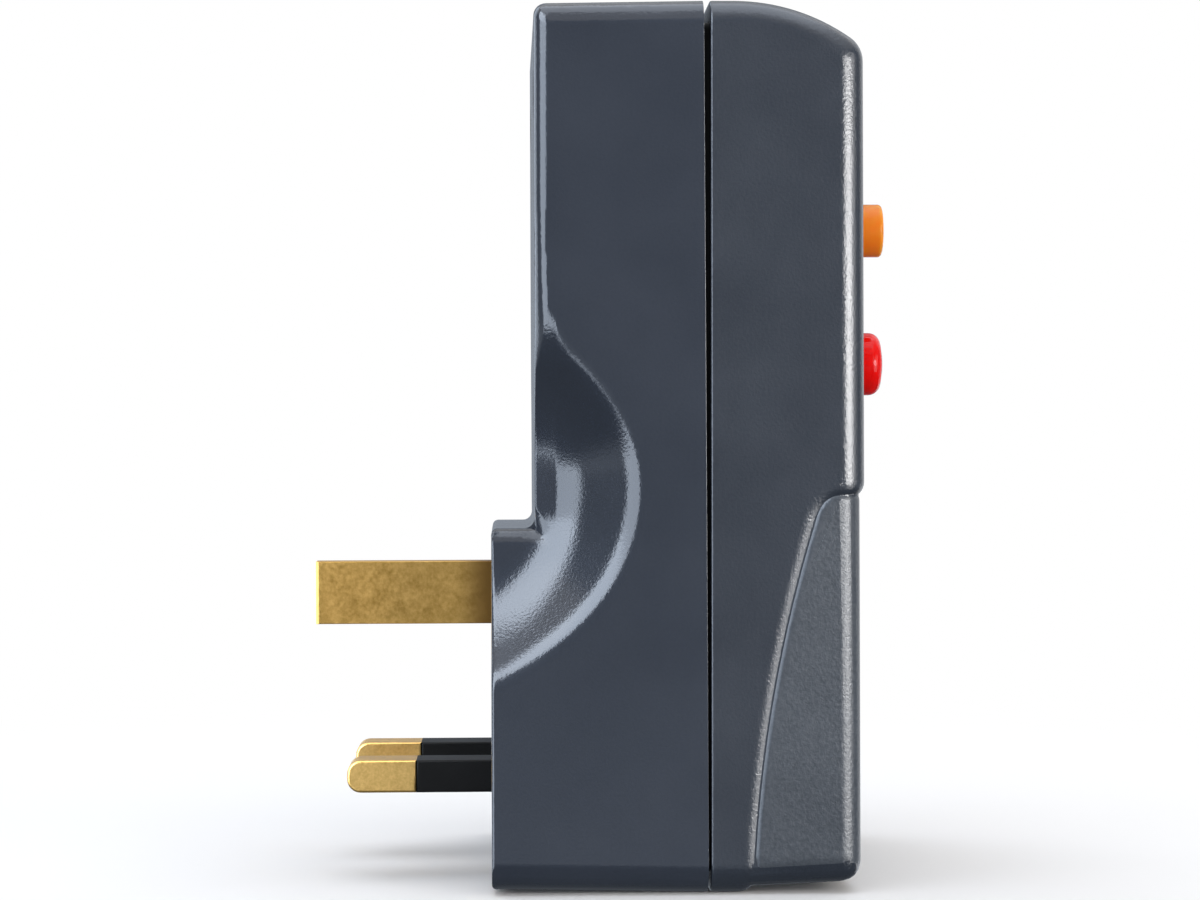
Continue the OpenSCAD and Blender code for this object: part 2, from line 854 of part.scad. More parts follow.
// Sprung clip whose two leaves lie above and below a power pin
module power_contact(side) {
    gap = power_pin_h / 2 + pin_clear;
    mouth_y = carrier_y + slide_gap;
    color(brass)
    for (leaf = [-1, 1]) {
        block(
            [side * pin_x, row_z + leaf * (gap + clip_t / 2)], [clip_w, clip_t],
            mouth_y, power_web_y + clip_t
        );
    }
    color(brass)
    box(
        [side * pin_x - clip_w / 2, power_web_y, row_z - gap - clip_t],
        [side * pin_x + clip_w / 2, power_web_y + clip_t, tab_top_z]
    );
}

// Sprung clip whose two leaves lie beside the earth pin
module earth_socket_contact() {
    gap = earth_pin_w / 2 + pin_clear;
    color(brass) {
        for (leaf = [-1, 1]) {
            block(
                [leaf * (gap + clip_t / 2), earth_z], [clip_t, clip_h],
                earth_mouth_y, earth_web_y + clip_t
            );
        }
        block([0, earth_z], [2 * (gap + clip_t), clip_h], earth_web_y, earth_web_y + clip_t);
    }
}

module shutter() {
    blade_hw = pin_x + power_slot_w / 2 + shutter_side;
    ramp_hw = earth_slot_w / 2 - ramp_gap;
    notch_hw = shutter_spring_r + ramp_gap;
    ramp = [
        [shutter_front_y, ramp_low_z - ramp_foot], [shutter_front_y + shutter_travel, ramp_low_z - ramp_foot],
        [shutter_front_y + shutter_travel, ramp_top_z], [shutter_front_y, ramp_low_z]
    ];
    color(white_plastic)
    difference() {
        union() {
            box([-blade_hw, shutter_front_y, shutter_low_z], [blade_hw, shutter_back_y, shutter_top_z]);
            box([-shutter_stem_hw, shutter_front_y, row_z], [shutter_stem_hw, shutter_back_y, ramp_low_z]);
            across(2 * ramp_hw, ramp);
        }
        box(
            [-notch_hw, shutter_front_y - past, shutter_low_z - past],
            [notch_hw, shutter_back_y + past, shutter_low_z + shutter_notch]
        );
    }
}

module shutter_spring() {
    floor_z = base_z + wall;
    length = shutter_low_z + shutter_notch - floor_z;
    path = helix(shutter_spring_r - shutter_wire_r, shutter_wire_r, length, shutter_turns);
    color(steel)
    translate([0, (shutter_front_y + shutter_back_y) / 2, floor_z])
        tube(path, shutter_wire_r, wire_sides, [0, 0, 1]);
}

module reset_button() {
    r = reset_d / 2;
    dome_h = -front_y + button_proud - reset_dome;
    dome = [
        for (i = [0 : arc_steps])
            let (a = 90 * i / arc_steps) [r * cos(a), dome_h + reset_dome * sin(a)]
    ];
    color(button_red)
    turned([0, reset_z], concat(
        [
            [0, -reset_stem_y], [reset_stem_r, -reset_stem_y], [reset_stem_r, -flange_y - flange_t],
            [r + flange_rim, -flange_y - flange_t], [r + flange_rim, -flange_y], [r, -flange_y]
        ],
        dome
    ));
}

module reset_spring() {
    length = board_y - flange_y - flange_t;
    color(steel)
    coil_spring([0, reset_z], reset_spring_r, reset_wire_r, board_y, length, reset_turns);
}

module test_button() {
    r = test_d / 2;
    end_h = -front_y + button_proud - test_end_r;
    color(button_orange)
    turned([0, test_z], concat(
        [
            [0, -test_stem_y], [test_stem_r, -test_stem_y], [test_stem_r, -flange_y - flange_t],
            [r + flange_rim, -flange_y - flange_t], [r + flange_rim, -flange_y], [r, -flange_y]
        ],
        arc_points([r - test_end_r, end_h], test_end_r, 0, 90),
        [[0, end_h + test_end_r]]
    ));
}

module test_blade() {
    foot_z = test_z - leaf_reach;
    color(brass) {
        box([-leaf_w / 2, board_y - leaf_t, foot_z - leaf_foot], [leaf_w / 2, board_y, foot_z]);
        box([-leaf_w / 2, leaf_y - leaf_t, foot_z - leaf_t], [leaf_w / 2, board_y, foot_z]);
        box([-leaf_w / 2, leaf_y - leaf_t, foot_z - leaf_t], [leaf_w / 2, leaf_y, test_z + leaf_past]);
    }
}

module test_stud() {
    color(brass) rod([0, stud_z], stud_r, board_y, board_y - stud_h);
}

module circuit_board() {
    color(board_green)
    difference() {
        union() {
            box([-board_hw, board_y, board_low_z], [board_hw, board_back_y, board_top_z]);
            box([-tongue_hw, board_y, board_low_z], [tongue_hw, board_back_y, test_z + tongue_rise]);
        }
        rod([0, reset_z], reset_stem_r + stem_fit, past, front_y);
        for (place = board_places) {
            rod(place, short_screw_r + screw_fit, past, front_y);
        }
    }
}

module circuit_board_screws() {
    length = board_back_y - front_in_y - short_screw_floor;
    color(steel)
    for (place = board_places) {
        screw(place, short_screw_r, short_head_r, short_head_t, board_back_y, length, -1);
    }
}

module current_transformer() {
    color(black_plastic)
    translate([0, ring_y, ring_low_z])
        difference() {
            cylinder(r = ring_r, h = ring_h);
            translate([0, 0, -past]) cylinder(r = ring_hole_r, h = ring_h + 2 * past);
        }
}

module control_chip() {
    place = [board_hw - chip_inset, reset_z + chip_rise];
    foot_y = board_y - chip_lift;
    lead_x = (chip_size[0] + chip_lead_out) / 2;
    color(black_plastic) block(place, chip_size, foot_y, foot_y - chip_t);
    color(steel)
    for (side = sides, i = [-1.5 : 1.5]) {
        block(
            place + [side * lead_x, i * chip_lead_pitch], [chip_lead_out, chip_lead_w],
            board_y, foot_y - chip_t / 2
        );
    }
}

module smoothing_capacitor() {
    place = [smoothing_inset - board_hw, reset_z - smoothing_drop];
    color(black_plastic) rod(place, smoothing_r, board_y, board_y - part_room);
}

module film_capacitor() {
    place = [board_hw - film_inset, reset_z - film_drop];
    color(film_yellow) block(place, film_size, board_y, board_y - part_room);
}

module varistor() {
    place = [varistor_inset - board_hw, test_z - varistor_drop];
    middle_y = board_y - varistor_stand - varistor_r;
    color(varistor_blue)
    translate([place[0], middle_y, place[1] - varistor_t / 2]) cylinder(r = varistor_r, h = varistor_t);
    color(steel)
    for (side = sides) {
        rod(place + [side * varistor_r / 2, 0], varistor_lead_r, board_y, middle_y);
    }
}

module thyristor() {
    place = [board_hw - thyristor_inset, test_z + thyristor_rise];
    foot_y = board_y - thyristor_stand;
    color(black_plastic) rod(place, thyristor_r, foot_y, foot_y - thyristor_h);
    color(steel)
    for (i = [-1 : 1]) {
        rod(place + [i * thyristor_lead_pitch, 0], thyristor_lead_r, board_y, foot_y - thyristor_h / 2);
    }
}

// Body of a leaded part that lies along X, with its two leads turned down to the board
module leaded_part(place, body_r, body_len, lead_r) {
    axis_y = board_y - body_r - lead_r;
    reach = body_len / 2 + lead_run;
    translate([place[0] - body_len / 2, axis_y, place[1]])
        rotate([0, 90, 0]) cylinder(r = body_r, h = body_len);
    for (side = sides) {
        block(
            place + [side * (body_len / 2 + reach) / 2, 0], [reach - body_len / 2, 2 * lead_r],
            axis_y - lead_r, axis_y + lead_r
        );
        block(place + [side * reach, 0], [2 * lead_r, 2 * lead_r], axis_y - lead_r, board_y);
    }
}

module power_resistors() {
    color(resistor_tan)
    for (i = [0 : resistor_count - 1]) {
        place = [resistor_inset - board_hw, test_z - resistor_drop + resistor_pitch * i];
        leaded_part(place, resistor_r, resistor_len, resistor_lead_r);
    }
}

module rectifier_diodes() {
    color(black_plastic)
    for (i = [0 : diode_count - 1]) {
        place = [board_hw - diode_inset, test_z - diode_drop + diode_pitch * i];
        leaded_part(place, diode_r, diode_len, diode_lead_r);
    }
}

module mechanism_frame() {
    color(white_plastic)
    difference() {
        union() {
            box([-frame_hw, frame_y, ring_top_z], [frame_hw, back_in_y, frame_top_z]);
            box([-ring_r, ring_y - ring_r, ring_top_z], [ring_r, back_in_y, ring_top_z + shelf_t]);
            for (side = sides) {
                rod([side * guide_x, reset_z], guide_r, back_in_y - frame_t / 2, board_back_y);
                block([side * contact_x, contact_z], [arm_w, arm_w], frame_y + frame_t / 2, strip_back_y);
            }
        }
        translate([0, ring_y, ring_top_z - past]) cylinder(r = ring_hole_r, h = shelf_t + 2 * past);
    }
}

// Moving bridge, driven by the reset button
module contact_carrier() {
    color(white_plastic)
    difference() {
        union() {
            block([0, reset_z], [2 * beam_hw, beam_h], bridge_y, bridge_in_y);
            for (side = sides) {
                box(
                    [side * contact_x - arm_w / 2, bridge_y, reset_z],
                    [side * contact_x + arm_w / 2, bridge_in_y, contact_z + arm_w / 2]
                );
            }
        }
        for (side = sides) {
            rod([side * guide_x, reset_z], guide_r + guide_fit, past, front_y);
        }
    }
}

module armature() {
    color(steel) rod([0, reset_z], armature_r, bridge_in_y, bridge_in_y + armature_t);
}

module opening_springs() {
    length = frame_y - bridge_in_y;
    color(steel)
    for (side = sides) {
        coil_spring(
            [side * guide_x, reset_z], opening_spring_r, opening_wire_r, frame_y, length, opening_turns
        );
    }
}

module coil_bobbin() {
    front = frame_y - coil_len;
    color(white_plastic)
    difference() {
        union() {
            rod([0, reset_z], coil_r, frame_y, frame_y - bobbin_wall);
            rod([0, reset_z], core_r + bobbin_wall, frame_y, front);
            rod([0, reset_z], coil_r, front + bobbin_wall, front);
        }
        rod([0, reset_z], core_r, past, front - past);
    }
}

module coil_winding() {
    back = frame_y - bobbin_wall;
    front = frame_y - coil_len + bobbin_wall;
    color(copper)
    difference() {
        rod([0, reset_z], coil_r - bobbin_wall, back, front);
        rod([0, reset_z], core_r + bobbin_wall, back + past, front - past);
    }
}

module coil_core() {
    color(steel) rod([0, reset_z], core_r, frame_y, pole_y);
}

// Bar from a power pin's tail, up through the current transformer and out to the fixed contact
module supply_bar(side) {
    half = bar_w / 2;
    foot_hw = waist[0] / 2;
    foot_hh = waist[1] / 2;
    tail_in_y = tail_y - bar_t;
    near_y = ring_y + bar_t / 2;
    far_y = ring_y - bar_t / 2;
    end_z = contact_z - strip_h / 2;
    color(copper)
    mirror([side == live ? 0 : 1, 0, 0]) {
        box([pin_x - foot_hw, tail_in_y, row_z - foot_hh], [pin_x + foot_hw, tail_y, row_z + foot_hh]);
        box([pin_x - half, tail_in_y, row_z], [pin_x + half, tail_y, link_z + bar_w]);
        box([bar_x - half, tail_in_y, link_z], [pin_x + half, tail_y, link_z + bar_w]);
        box([bar_x - half, far_y, link_z], [bar_x + half, tail_y, link_z + bar_w]);
        box([bar_x - half, far_y, link_z], [bar_x + half, near_y, upper_link_z + bar_w]);
        box([bar_x - half, far_y, upper_link_z], [riser_x + half, near_y, upper_link_z + bar_w]);
        box([riser_x - half, far_y, upper_link_z], [riser_x + half, near_y, end_z]);
        box(
            [riser_x - half, min(far_y, strip_front_y), end_z - bar_w],
            [riser_x + half, max(near_y, strip_back_y), end_z]
        );
    }
}

// Fixed contact strip on the frame's post, with its tip
module fixed_contact(side) {
    half = strip_h / 2;
    color(brass)
    mirror([side == live ? 0 : 1, 0, 0]) {
        box(
            [contact_x - arm_w / 2, strip_front_y, contact_z - half],
            [riser_x + bar_w / 2, strip_back_y, contact_z + half]
        );
        rod([contact_x, contact_z], tip_r, strip_front_y, pole_y);
    }
}

// Moving contact blade on the bridge's arm, with its tip
module moving_contact(side) {
    place = [side * contact_x, contact_z];
    color(brass) {
        block(place, [arm_w, blade_h], bridge_in_y, bridge_in_y + blade_t);
        rod(place, tip_r, bridge_in_y + blade_t, bridge_in_y + armature_t);
    }
}

// Flexible braid from a moving contact to its load bar
module braid(side) {
    foot = [contact_x, bridge_in_y + blade_t / 2, braid_z];
    head = [braid_end_x, load_y + bar_w / 2, braid_z + braid_rise];
    from = foot + [0, 0, braid_straight];
    to = head - [braid_straight, 0, 0];
    bend = [
        for (i = [0 : arc_steps])
            let (a = 90 * i / arc_steps)
                [
                    to[0] - (to[0] - from[0]) * cos(a),
                    from[1] + (to[1] - from[1]) * (1 - cos(2 * a)) / 2,
                    from[2] + (to[2] - from[2]) * sin(a)
                ]
    ];
    color(copper)
    mirror([side == live ? 0 : 1, 0, 0])
        tube(concat([foot], bend, [head]), braid_r, braid_sides, [0, 1, 0]);
}

// Bar from a braid down to its socket contact
module load_bar(side) {
    half = bar_w / 2;
    foot_z = tab_top_z - tab_h;
    head_z = braid_z + braid_rise + half;
    color(copper)
    mirror([side == live ? 0 : 1, 0, 0]) {
        box([pin_x - clip_w / 2, load_y, foot_z], [load_x + half, load_y + bar_w, tab_top_z]);
        box([load_x - half, load_y, foot_z], [load_x + half, load_y + bar_w, head_z]);
    }
}

rear_casing();
front_cover();
casing_screws();
earth_pin();
power_pin(live);  // live_pin
power_pin(neutral);  // neutral_pin
pin_sleeve(live);  // live_pin_sleeve
pin_sleeve(neutral);  // neutral_pin_sleeve
pin_retainer();
pin_retainer_screws();
earth_strap();
socket_carrier();
socket_carrier_screws();
power_contact(live);  // live_socket_contact
power_contact(neutral);  // neutral_socket_contact
earth_socket_contact();
shutter();
shutter_spring();
reset_button();
reset_spring();
test_button();
test_blade();
test_stud();
circuit_board();
circuit_board_screws();
current_transformer();
control_chip();
smoothing_capacitor();
film_capacitor();
varistor();
thyristor();
power_resistors();
rectifier_diodes();
mechanism_frame();
contact_carrier();
armature();
opening_springs();
coil_bobbin();
coil_winding();
coil_core();
supply_bar(live);  // live_supply_bar
supply_bar(neutral);  // neutral_supply_bar
fixed_contact(live);  // live_fixed_contact
fixed_contact(neutral);  // neutral_fixed_contact
moving_contact(live);  // live_moving_contact
moving_contact(neutral);  // neutral_moving_contact
braid(live);  // live_braid
braid(neutral);  // neutral_braid
load_bar(live);  // live_load_bar
load_bar(neutral);  // neutral_load_bar
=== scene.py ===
import json
import math

import bpy
import numpy as np
from mathutils import Matrix, Vector


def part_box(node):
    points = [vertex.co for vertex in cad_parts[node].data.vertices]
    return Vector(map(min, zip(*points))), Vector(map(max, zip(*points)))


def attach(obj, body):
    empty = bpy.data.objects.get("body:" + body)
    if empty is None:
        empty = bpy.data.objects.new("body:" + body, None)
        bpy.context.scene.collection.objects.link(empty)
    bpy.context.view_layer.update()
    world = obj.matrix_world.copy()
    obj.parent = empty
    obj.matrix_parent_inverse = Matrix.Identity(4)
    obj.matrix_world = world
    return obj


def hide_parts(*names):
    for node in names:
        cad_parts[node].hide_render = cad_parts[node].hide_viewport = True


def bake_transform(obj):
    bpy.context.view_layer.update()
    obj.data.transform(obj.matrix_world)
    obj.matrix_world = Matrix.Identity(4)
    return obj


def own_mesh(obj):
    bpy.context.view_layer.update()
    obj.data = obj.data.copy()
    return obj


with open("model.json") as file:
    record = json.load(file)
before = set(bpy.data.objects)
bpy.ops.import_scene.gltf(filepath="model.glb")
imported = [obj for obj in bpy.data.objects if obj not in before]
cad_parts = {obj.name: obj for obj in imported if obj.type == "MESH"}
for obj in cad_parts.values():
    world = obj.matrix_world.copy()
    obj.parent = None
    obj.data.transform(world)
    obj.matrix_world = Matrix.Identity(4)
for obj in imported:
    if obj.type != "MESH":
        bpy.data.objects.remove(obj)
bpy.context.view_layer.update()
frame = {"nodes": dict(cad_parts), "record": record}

# Camera
# The photograph looks square on at one side from about 0.39 m, turned a little towards the front.
# The camera stands at -X, so the pins come out on the left of the picture.
MM = 0.001
camera_place = Vector((-390, -2, 30.8)) * MM
camera_turn = math.radians(1.755)
camera_pitch = math.radians(-0.229)
camera_roll = math.radians(0.2)
picture_pixels = 1200
focal_pixels = 3028
sensor_width = 36
nearest_seen = 10 * MM
bpy.ops.object.select_all(action="DESELECT")
bpy.ops.object.camera_add()
camera = bpy.context.object
camera.name = "side_camera"
camera.data.sensor_width = sensor_width
camera.data.lens = sensor_width * focal_pixels / picture_pixels
camera.data.clip_start = nearest_seen
forward = Vector((
    math.cos(camera_turn) * math.cos(camera_pitch),
    -math.sin(camera_turn) * math.cos(camera_pitch),
    math.sin(camera_pitch),
))
level = Vector((-math.sin(camera_turn), -math.cos(camera_turn), 0))
upright = level.cross(forward)
right = level * math.cos(camera_roll) - upright * math.sin(camera_roll)
up = upright * math.cos(camera_roll) + level * math.sin(camera_roll)
camera.matrix_world = Matrix.Translation(camera_place) @ Matrix((right, up, -forward)).transposed().to_4x4()
bpy.context.scene.camera = camera


# Rear casing
# Rear half of the body: one injection moulding in dark blue-grey plastic, with the plug block low
# on its back, a round finger grip scooped out of each side and four towers for the casing screws.
# The mould's spark-eroded skin leaves a fine grain all over.
rear_low, rear_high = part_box("rear_casing")
half_width = rear_high.x
base_z = rear_low.z
top_z = rear_high.z
plug_face_y = rear_high.y
wall = 2.4 * MM
upper_back_y = plug_face_y - 5.3 * MM
row_z = -11.1 * MM
earth_z = 11.1 * MM
pin_x = 11.1 * MM
plug_top_z = earth_z + 8.7 * MM
parting_y = plug_face_y - 26 * MM
parting_half_gap = (0.39 * MM, 0.14 * MM)
past = 1 * MM
grip_slope = math.tan(math.radians(46))
grip_depth = 8.5 * MM
grip_foot_depth = 7.3 * MM
grip_deepest = (plug_face_y - 17.25 * MM, earth_z + 14.1 * MM)
grip_shoulder = (plug_face_y - 9.8 * MM, earth_z + 28.9 * MM)
grip_top = (upper_back_y - 0.2 * MM, earth_z + 39.4 * MM)
grip_foot = (plug_face_y - 0.4 * MM, earth_z - 9.2 * MM)
grip_rim_blend = 1.43 * MM
grip_floor_blends = (4.5 * MM, 3 * MM)
grip_floor_heights = (earth_z - 4 * MM, earth_z + 10 * MM)
grip_top_lean = 2 * MM
grip_runout = (16.2 * MM, -8 * MM)
grip_lines_z = (-4.5 * MM, 58 * MM, 0.5 * MM)
grip_lines_y = (-21.1 * MM, -0.6 * MM, 0.45 * MM)
inner_lines_z = (-6 * MM, 58 * MM, 1.2 * MM)
inner_lines_y = (-23 * MM, -3 * MM, 1.2 * MM)
grip_edge_share = 0.5
grip_edge_rise = 2.5 * MM
grip_edge_crisp = 0.85
just_past = 1.01
flat_angle = math.radians(0.1)
hair = 0.01 * MM
back_edge_radius = 2 * MM
bottom_edge_radius = 3.8 * MM
top_edge_radius = 3.1 * MM
plug_rim_radius = 0.8 * MM
plug_side_radius = 0.4 * MM
back_corner_radius = 1.6 * MM
inner_radius = 0.6 * MM
rear_rim_ease = 0.06 * MM
top_draft = 0.3 * MM
bottom_draft = 0.45 * MM
tower_x = 21.6 * MM
tower_heights = (base_z + 8.4 * MM, top_z - 10.5 * MM)
tower_radius = 4 * MM
head_recess_radius = 3 * MM
screw_seat_y = parting_y + 8 * MM
screw_radius = 1.45 * MM


def start():
    """Leave nothing selected before a form is begun."""
    bpy.ops.object.select_all(action="DESELECT")


def take(form):
    """Make one form the only one selected."""
    start()
    form.select_set(True)
    bpy.context.view_layer.objects.active = form


def open_mesh(action=None):
    """Open the active form's mesh, and select all or nothing of it if that is asked."""
    bpy.ops.object.mode_set(mode="EDIT")
    if action:
        bpy.ops.mesh.select_all(action=action)


def close_mesh():
    """Go back to whole forms."""
    bpy.ops.object.mode_set(mode="OBJECT")


def moulded_slab(name, outline, half, segments=6):
    """Extrude (y, z, corner radius, next side edge's radius) places across X; radii may be left out."""
    outline = [(*place, 0, 0)[:4] for place in outline]
    start()
    bpy.ops.mesh.primitive_circle_add(vertices=len(outline), fill_type="NGON")
    slab = bpy.context.object
    slab.name = name
    for vertex, (y, z, _, _) in zip(slab.data.vertices, outline):
        vertex.co = (-half, y, z)
    open_mesh("SELECT")
    bpy.ops.mesh.extrude_region_move(TRANSFORM_OT_translate={"value": (2 * half, 0, 0)})
    bpy.ops.mesh.select_all(action="SELECT")
    bpy.ops.mesh.normals_make_consistent()
    close_mesh()
    widest = max(max(corner, side) for _, _, corner, side in outline)
    if widest == 0:
        return slab
    weights = slab.data.attributes.new("bevel_weight_edge", "FLOAT", "EDGE")
    places = np.array([(y, z) for y, z, _, _ in outline])
    for edge in slab.data.edges:
        ends = [slab.data.vertices[i].co for i in edge.vertices]
        marks = [int(np.argmin(np.hypot(places[:, 0] - c.y, places[:, 1] - c.z))) for c in ends]
        if marks[0] == marks[1]:
            radius = outline[marks[0]][2]
        else:
            first = marks[0] if (marks[0] + 1) % len(outline) == marks[1] else marks[1]
            radius = outline[first][3]
        weights.data[edge.index].value = radius / widest
    take(slab)
    rounding = slab.modifiers.new("rounding", "BEVEL")
    rounding.limit_method = "WEIGHT"
    rounding.width = widest
    rounding.segments = segments
    rounding.use_clamp_overlap = False
    bpy.ops.object.modifier_apply(modifier=rounding.name)
    return slab


def score(form, normal, places):
    """Cut lines right round a form, square to an axis, so that it can be shaped there."""
    take(form)
    open_mesh()
    for place in places:
        bpy.ops.mesh.select_all(action="SELECT")
        bpy.ops.mesh.bisect(plane_co=Vector(normal) * place, plane_no=normal)
    close_mesh()


def dress(form, face, *finishes):
    """Give a form its finishes, and all its faces the one with the given number."""
    form.data.materials.clear()
    for material in finishes:
        form.data.materials.append(material)
    form.data.polygons.foreach_set("material_index", [face] * len(form.data.polygons))


def carve(form, tool, operation="DIFFERENCE"):
    """Cut a tool out of a form, or weld it on. A tool with no finish takes the form's first one."""
    take(form)
    if not tool.data.materials:
        dress(tool, 0, *form.data.materials)
    cut = form.modifiers.new("cut", "BOOLEAN")
    cut.operation = operation
    cut.solver = "MANIFOLD"
    cut.object = tool
    bpy.ops.object.modifier_apply(modifier=cut.name)
    bpy.data.objects.remove(tool)


def gather(forms, name):
    """Join several forms into one mesh."""
    start()
    for form in forms:
        form.select_set(True)
    bpy.context.view_layer.objects.active = forms[0]
    bpy.ops.object.join()
    forms[0].name = name
    return forms[0]


def rod(x, z, radius, y_from, y_to, sides=40):
    """Round tool along Y between two depths."""
    start()
    bpy.ops.mesh.primitive_cylinder_add(
        vertices=sides, radius=radius, depth=abs(y_to - y_from),
        location=(x, (y_from + y_to) / 2, z), rotation=(math.pi / 2, 0, 0),
    )
    bpy.ops.object.transform_apply()
    return bpy.context.object


def bar(x, z, width, height, y_from, y_to):
    """Square tool along Y between two depths."""
    start()
    bpy.ops.mesh.primitive_cube_add(size=1, location=(x, (y_from + y_to) / 2, z))
    form = bpy.context.object
    form.scale = (width, abs(y_to - y_from), height)
    bpy.ops.object.transform_apply()
    return form


def smooth_ramp(a, blend):
    """Zero below -blend, the value itself above blend and a parabola between."""
    return np.where(a > blend, a, np.where(a > -blend, (a + blend) ** 2 / (4 * blend), 0))


def drawn_curve(start_point, start_pull, end_pull, end_point, steps=40):
    """Points of a smooth curve between two places, each with the pull of its handle."""
    t = np.linspace(0, 1, steps)[:, None]
    ends = [np.array(c) for c in (start_point, end_point)]
    handles = [ends[0] + np.array(start_pull) * MM, ends[1] + np.array(end_pull) * MM]
    return (
        ends[0] * (1 - t) ** 3 + 3 * handles[0] * t * (1 - t) ** 2
        + 3 * handles[1] * t ** 2 * (1 - t) + ends[1] * t ** 3
    )


grip_rim = np.concatenate([
    [(grip_top[0] + grip_top_lean, top_z)],
    drawn_curve(grip_top, (-0.4, -5), (1.9, 1.7), grip_shoulder),
    drawn_curve(grip_shoulder, (-2.8, -2.7), (0, 6.5), grip_deepest)[1:],
    drawn_curve(grip_deepest, (0, -12), (-8.1, 4), grip_foot)[1:],
    [(grip_foot[0] + grip_runout[0], grip_foot[1] + grip_runout[1])],
])


def grip_sink(y, z, grow):
    """How far the grip takes the side in at a place, on the skin or on a wall that lies behind it."""
    place = np.stack([y, z], 1)
    nearest = np.full(len(place), np.inf)
    inside = np.zeros(len(place))
    for first, last in zip(grip_rim[:-1], grip_rim[1:]):
        run = last - first
        along = np.clip((place - first) @ run / (run @ run), 0, 1)
        away = place - first - along[:, None] * run
        reach = np.hypot(away[:, 0], away[:, 1])
        side = away[:, 1] * run[0] - away[:, 0] * run[1]
        closer = reach < nearest
        nearest = np.where(closer, reach, nearest)
        inside = np.where(closer, np.sign(side), inside)
    more = grow * (math.sqrt(1 + grip_slope ** 2) - 1) / grip_slope
    rim = smooth_ramp((nearest * inside + more) * grip_slope, grip_rim_blend)
    floor_blend = np.interp(z, grip_floor_heights, grip_floor_blends)
    deepest = np.interp(z, grip_floor_heights, (grip_foot_depth, grip_depth))
    return deepest - smooth_ramp(deepest - rim, floor_blend)


def sink_grip(form, half, grow, edge_radius):
    """Press the finger grips into both sides, with a crisp back edge across each grip's floor."""
    mesh = form.data
    place = np.zeros(len(mesh.vertices) * 3)
    mesh.vertices.foreach_get("co", place)
    place = place.reshape(-1, 3)
    x, y, z = place.T
    if edge_radius:
        open_back = grip_sink(np.full_like(z, upper_back_y), z, grow) / (grip_edge_share * grip_depth)
        above_plug = np.clip((z - plug_top_z) / grip_edge_rise, 0, 1)
        crisp = grip_edge_crisp * np.clip(open_back, 0, 1) * above_plug
        reach = edge_radius * just_past
        strip = (np.abs(x) > half - reach) & (y > upper_back_y - reach)
        strip &= y < upper_back_y + hair
        crisp = np.where(strip, crisp, 0)
        x = x + np.sign(x) * (half - np.abs(x)) * crisp
        y = y + (upper_back_y - y) * crisp
    x = x - np.sign(x) * grip_sink(y, z, grow)
    mesh.vertices.foreach_set("co", np.stack([x, y, z], 1).ravel())
    mesh.update()


def pick_faces(form, fits):
    """Open a form's mesh with only those faces selected whose normal fits."""
    take(form)
    open_mesh("DESELECT")
    close_mesh()
    for face in form.data.polygons:
        face.select = fits(face.normal)
    open_mesh()


def ease_rim(form, towards, radius, segments):
    """Round the outer edge of the face that meets the other half."""
    take(form)
    open_mesh()
    bpy.ops.mesh.select_mode(type="FACE")
    close_mesh()
    pick_faces(form, lambda normal: normal.y * towards > 0.99)
    bpy.ops.mesh.region_to_loop()
    bpy.ops.mesh.bevel(offset=radius, segments=segments)
    close_mesh()


def settle(piece, angle=38):
    """Shade a finished form so that its flats stay flat and its roundings stay round."""
    take(piece)
    open_mesh("SELECT")
    bpy.ops.mesh.dissolve_limited(angle_limit=flat_angle, delimit={"MATERIAL"})
    close_mesh()
    bpy.ops.object.shade_smooth_by_angle(angle=math.radians(angle))
    weighting = piece.modifiers.new("flats_stay_flat", "WEIGHTED_NORMAL")
    weighting.keep_sharp = True
    bpy.ops.object.modifier_apply(modifier=weighting.name)


def spread(first, last, step):
    """Evenly spaced places between two ends."""
    return np.linspace(first, last, int(round(abs(last - first) / step)) + 1)


rear_rim = (parting_y + parting_half_gap[0], parting_y + parting_half_gap[1])
rear_shell = moulded_slab("rear_casing_shell", [
    (rear_rim[1], base_z, 0, bottom_edge_radius),
    (plug_face_y, base_z + bottom_draft, plug_rim_radius, plug_side_radius),
    (plug_face_y, plug_top_z, plug_rim_radius, back_edge_radius),
    (upper_back_y, plug_top_z, 0, back_edge_radius),
    (upper_back_y, top_z - top_draft, back_corner_radius, top_edge_radius),
    (rear_rim[0], top_z),
], half_width)
ease_rim(rear_shell, -1, rear_rim_ease, 2)
score(rear_shell, (0, 0, 1), spread(*grip_lines_z))
score(rear_shell, (0, 1, 0), spread(*grip_lines_y))
sink_grip(rear_shell, half_width, 0, back_edge_radius)

# The plug block's lower corners follow the base's side edges right to the plug face.
heel_depth = 0.9 * MM
heel_radius = bottom_edge_radius + 2 * hair
heel_sides = 96
heel_z = base_z + bottom_draft + bottom_edge_radius
heel_ys = (plug_face_y - heel_depth, plug_face_y + past)
for side in (-1, 1):
    heel_cut = bar(
        side * (half_width + (past - bottom_edge_radius) / 2), (heel_z + base_z - past) / 2,
        bottom_edge_radius + past, heel_z - base_z + past, *heel_ys,
    )
    heel_core = rod(
        side * (half_width - bottom_edge_radius), heel_z, heel_radius,
        heel_ys[0] - past, heel_ys[1] + past, heel_sides,
    )
    carve(heel_cut, heel_core)
    carve(rear_shell, heel_cut)

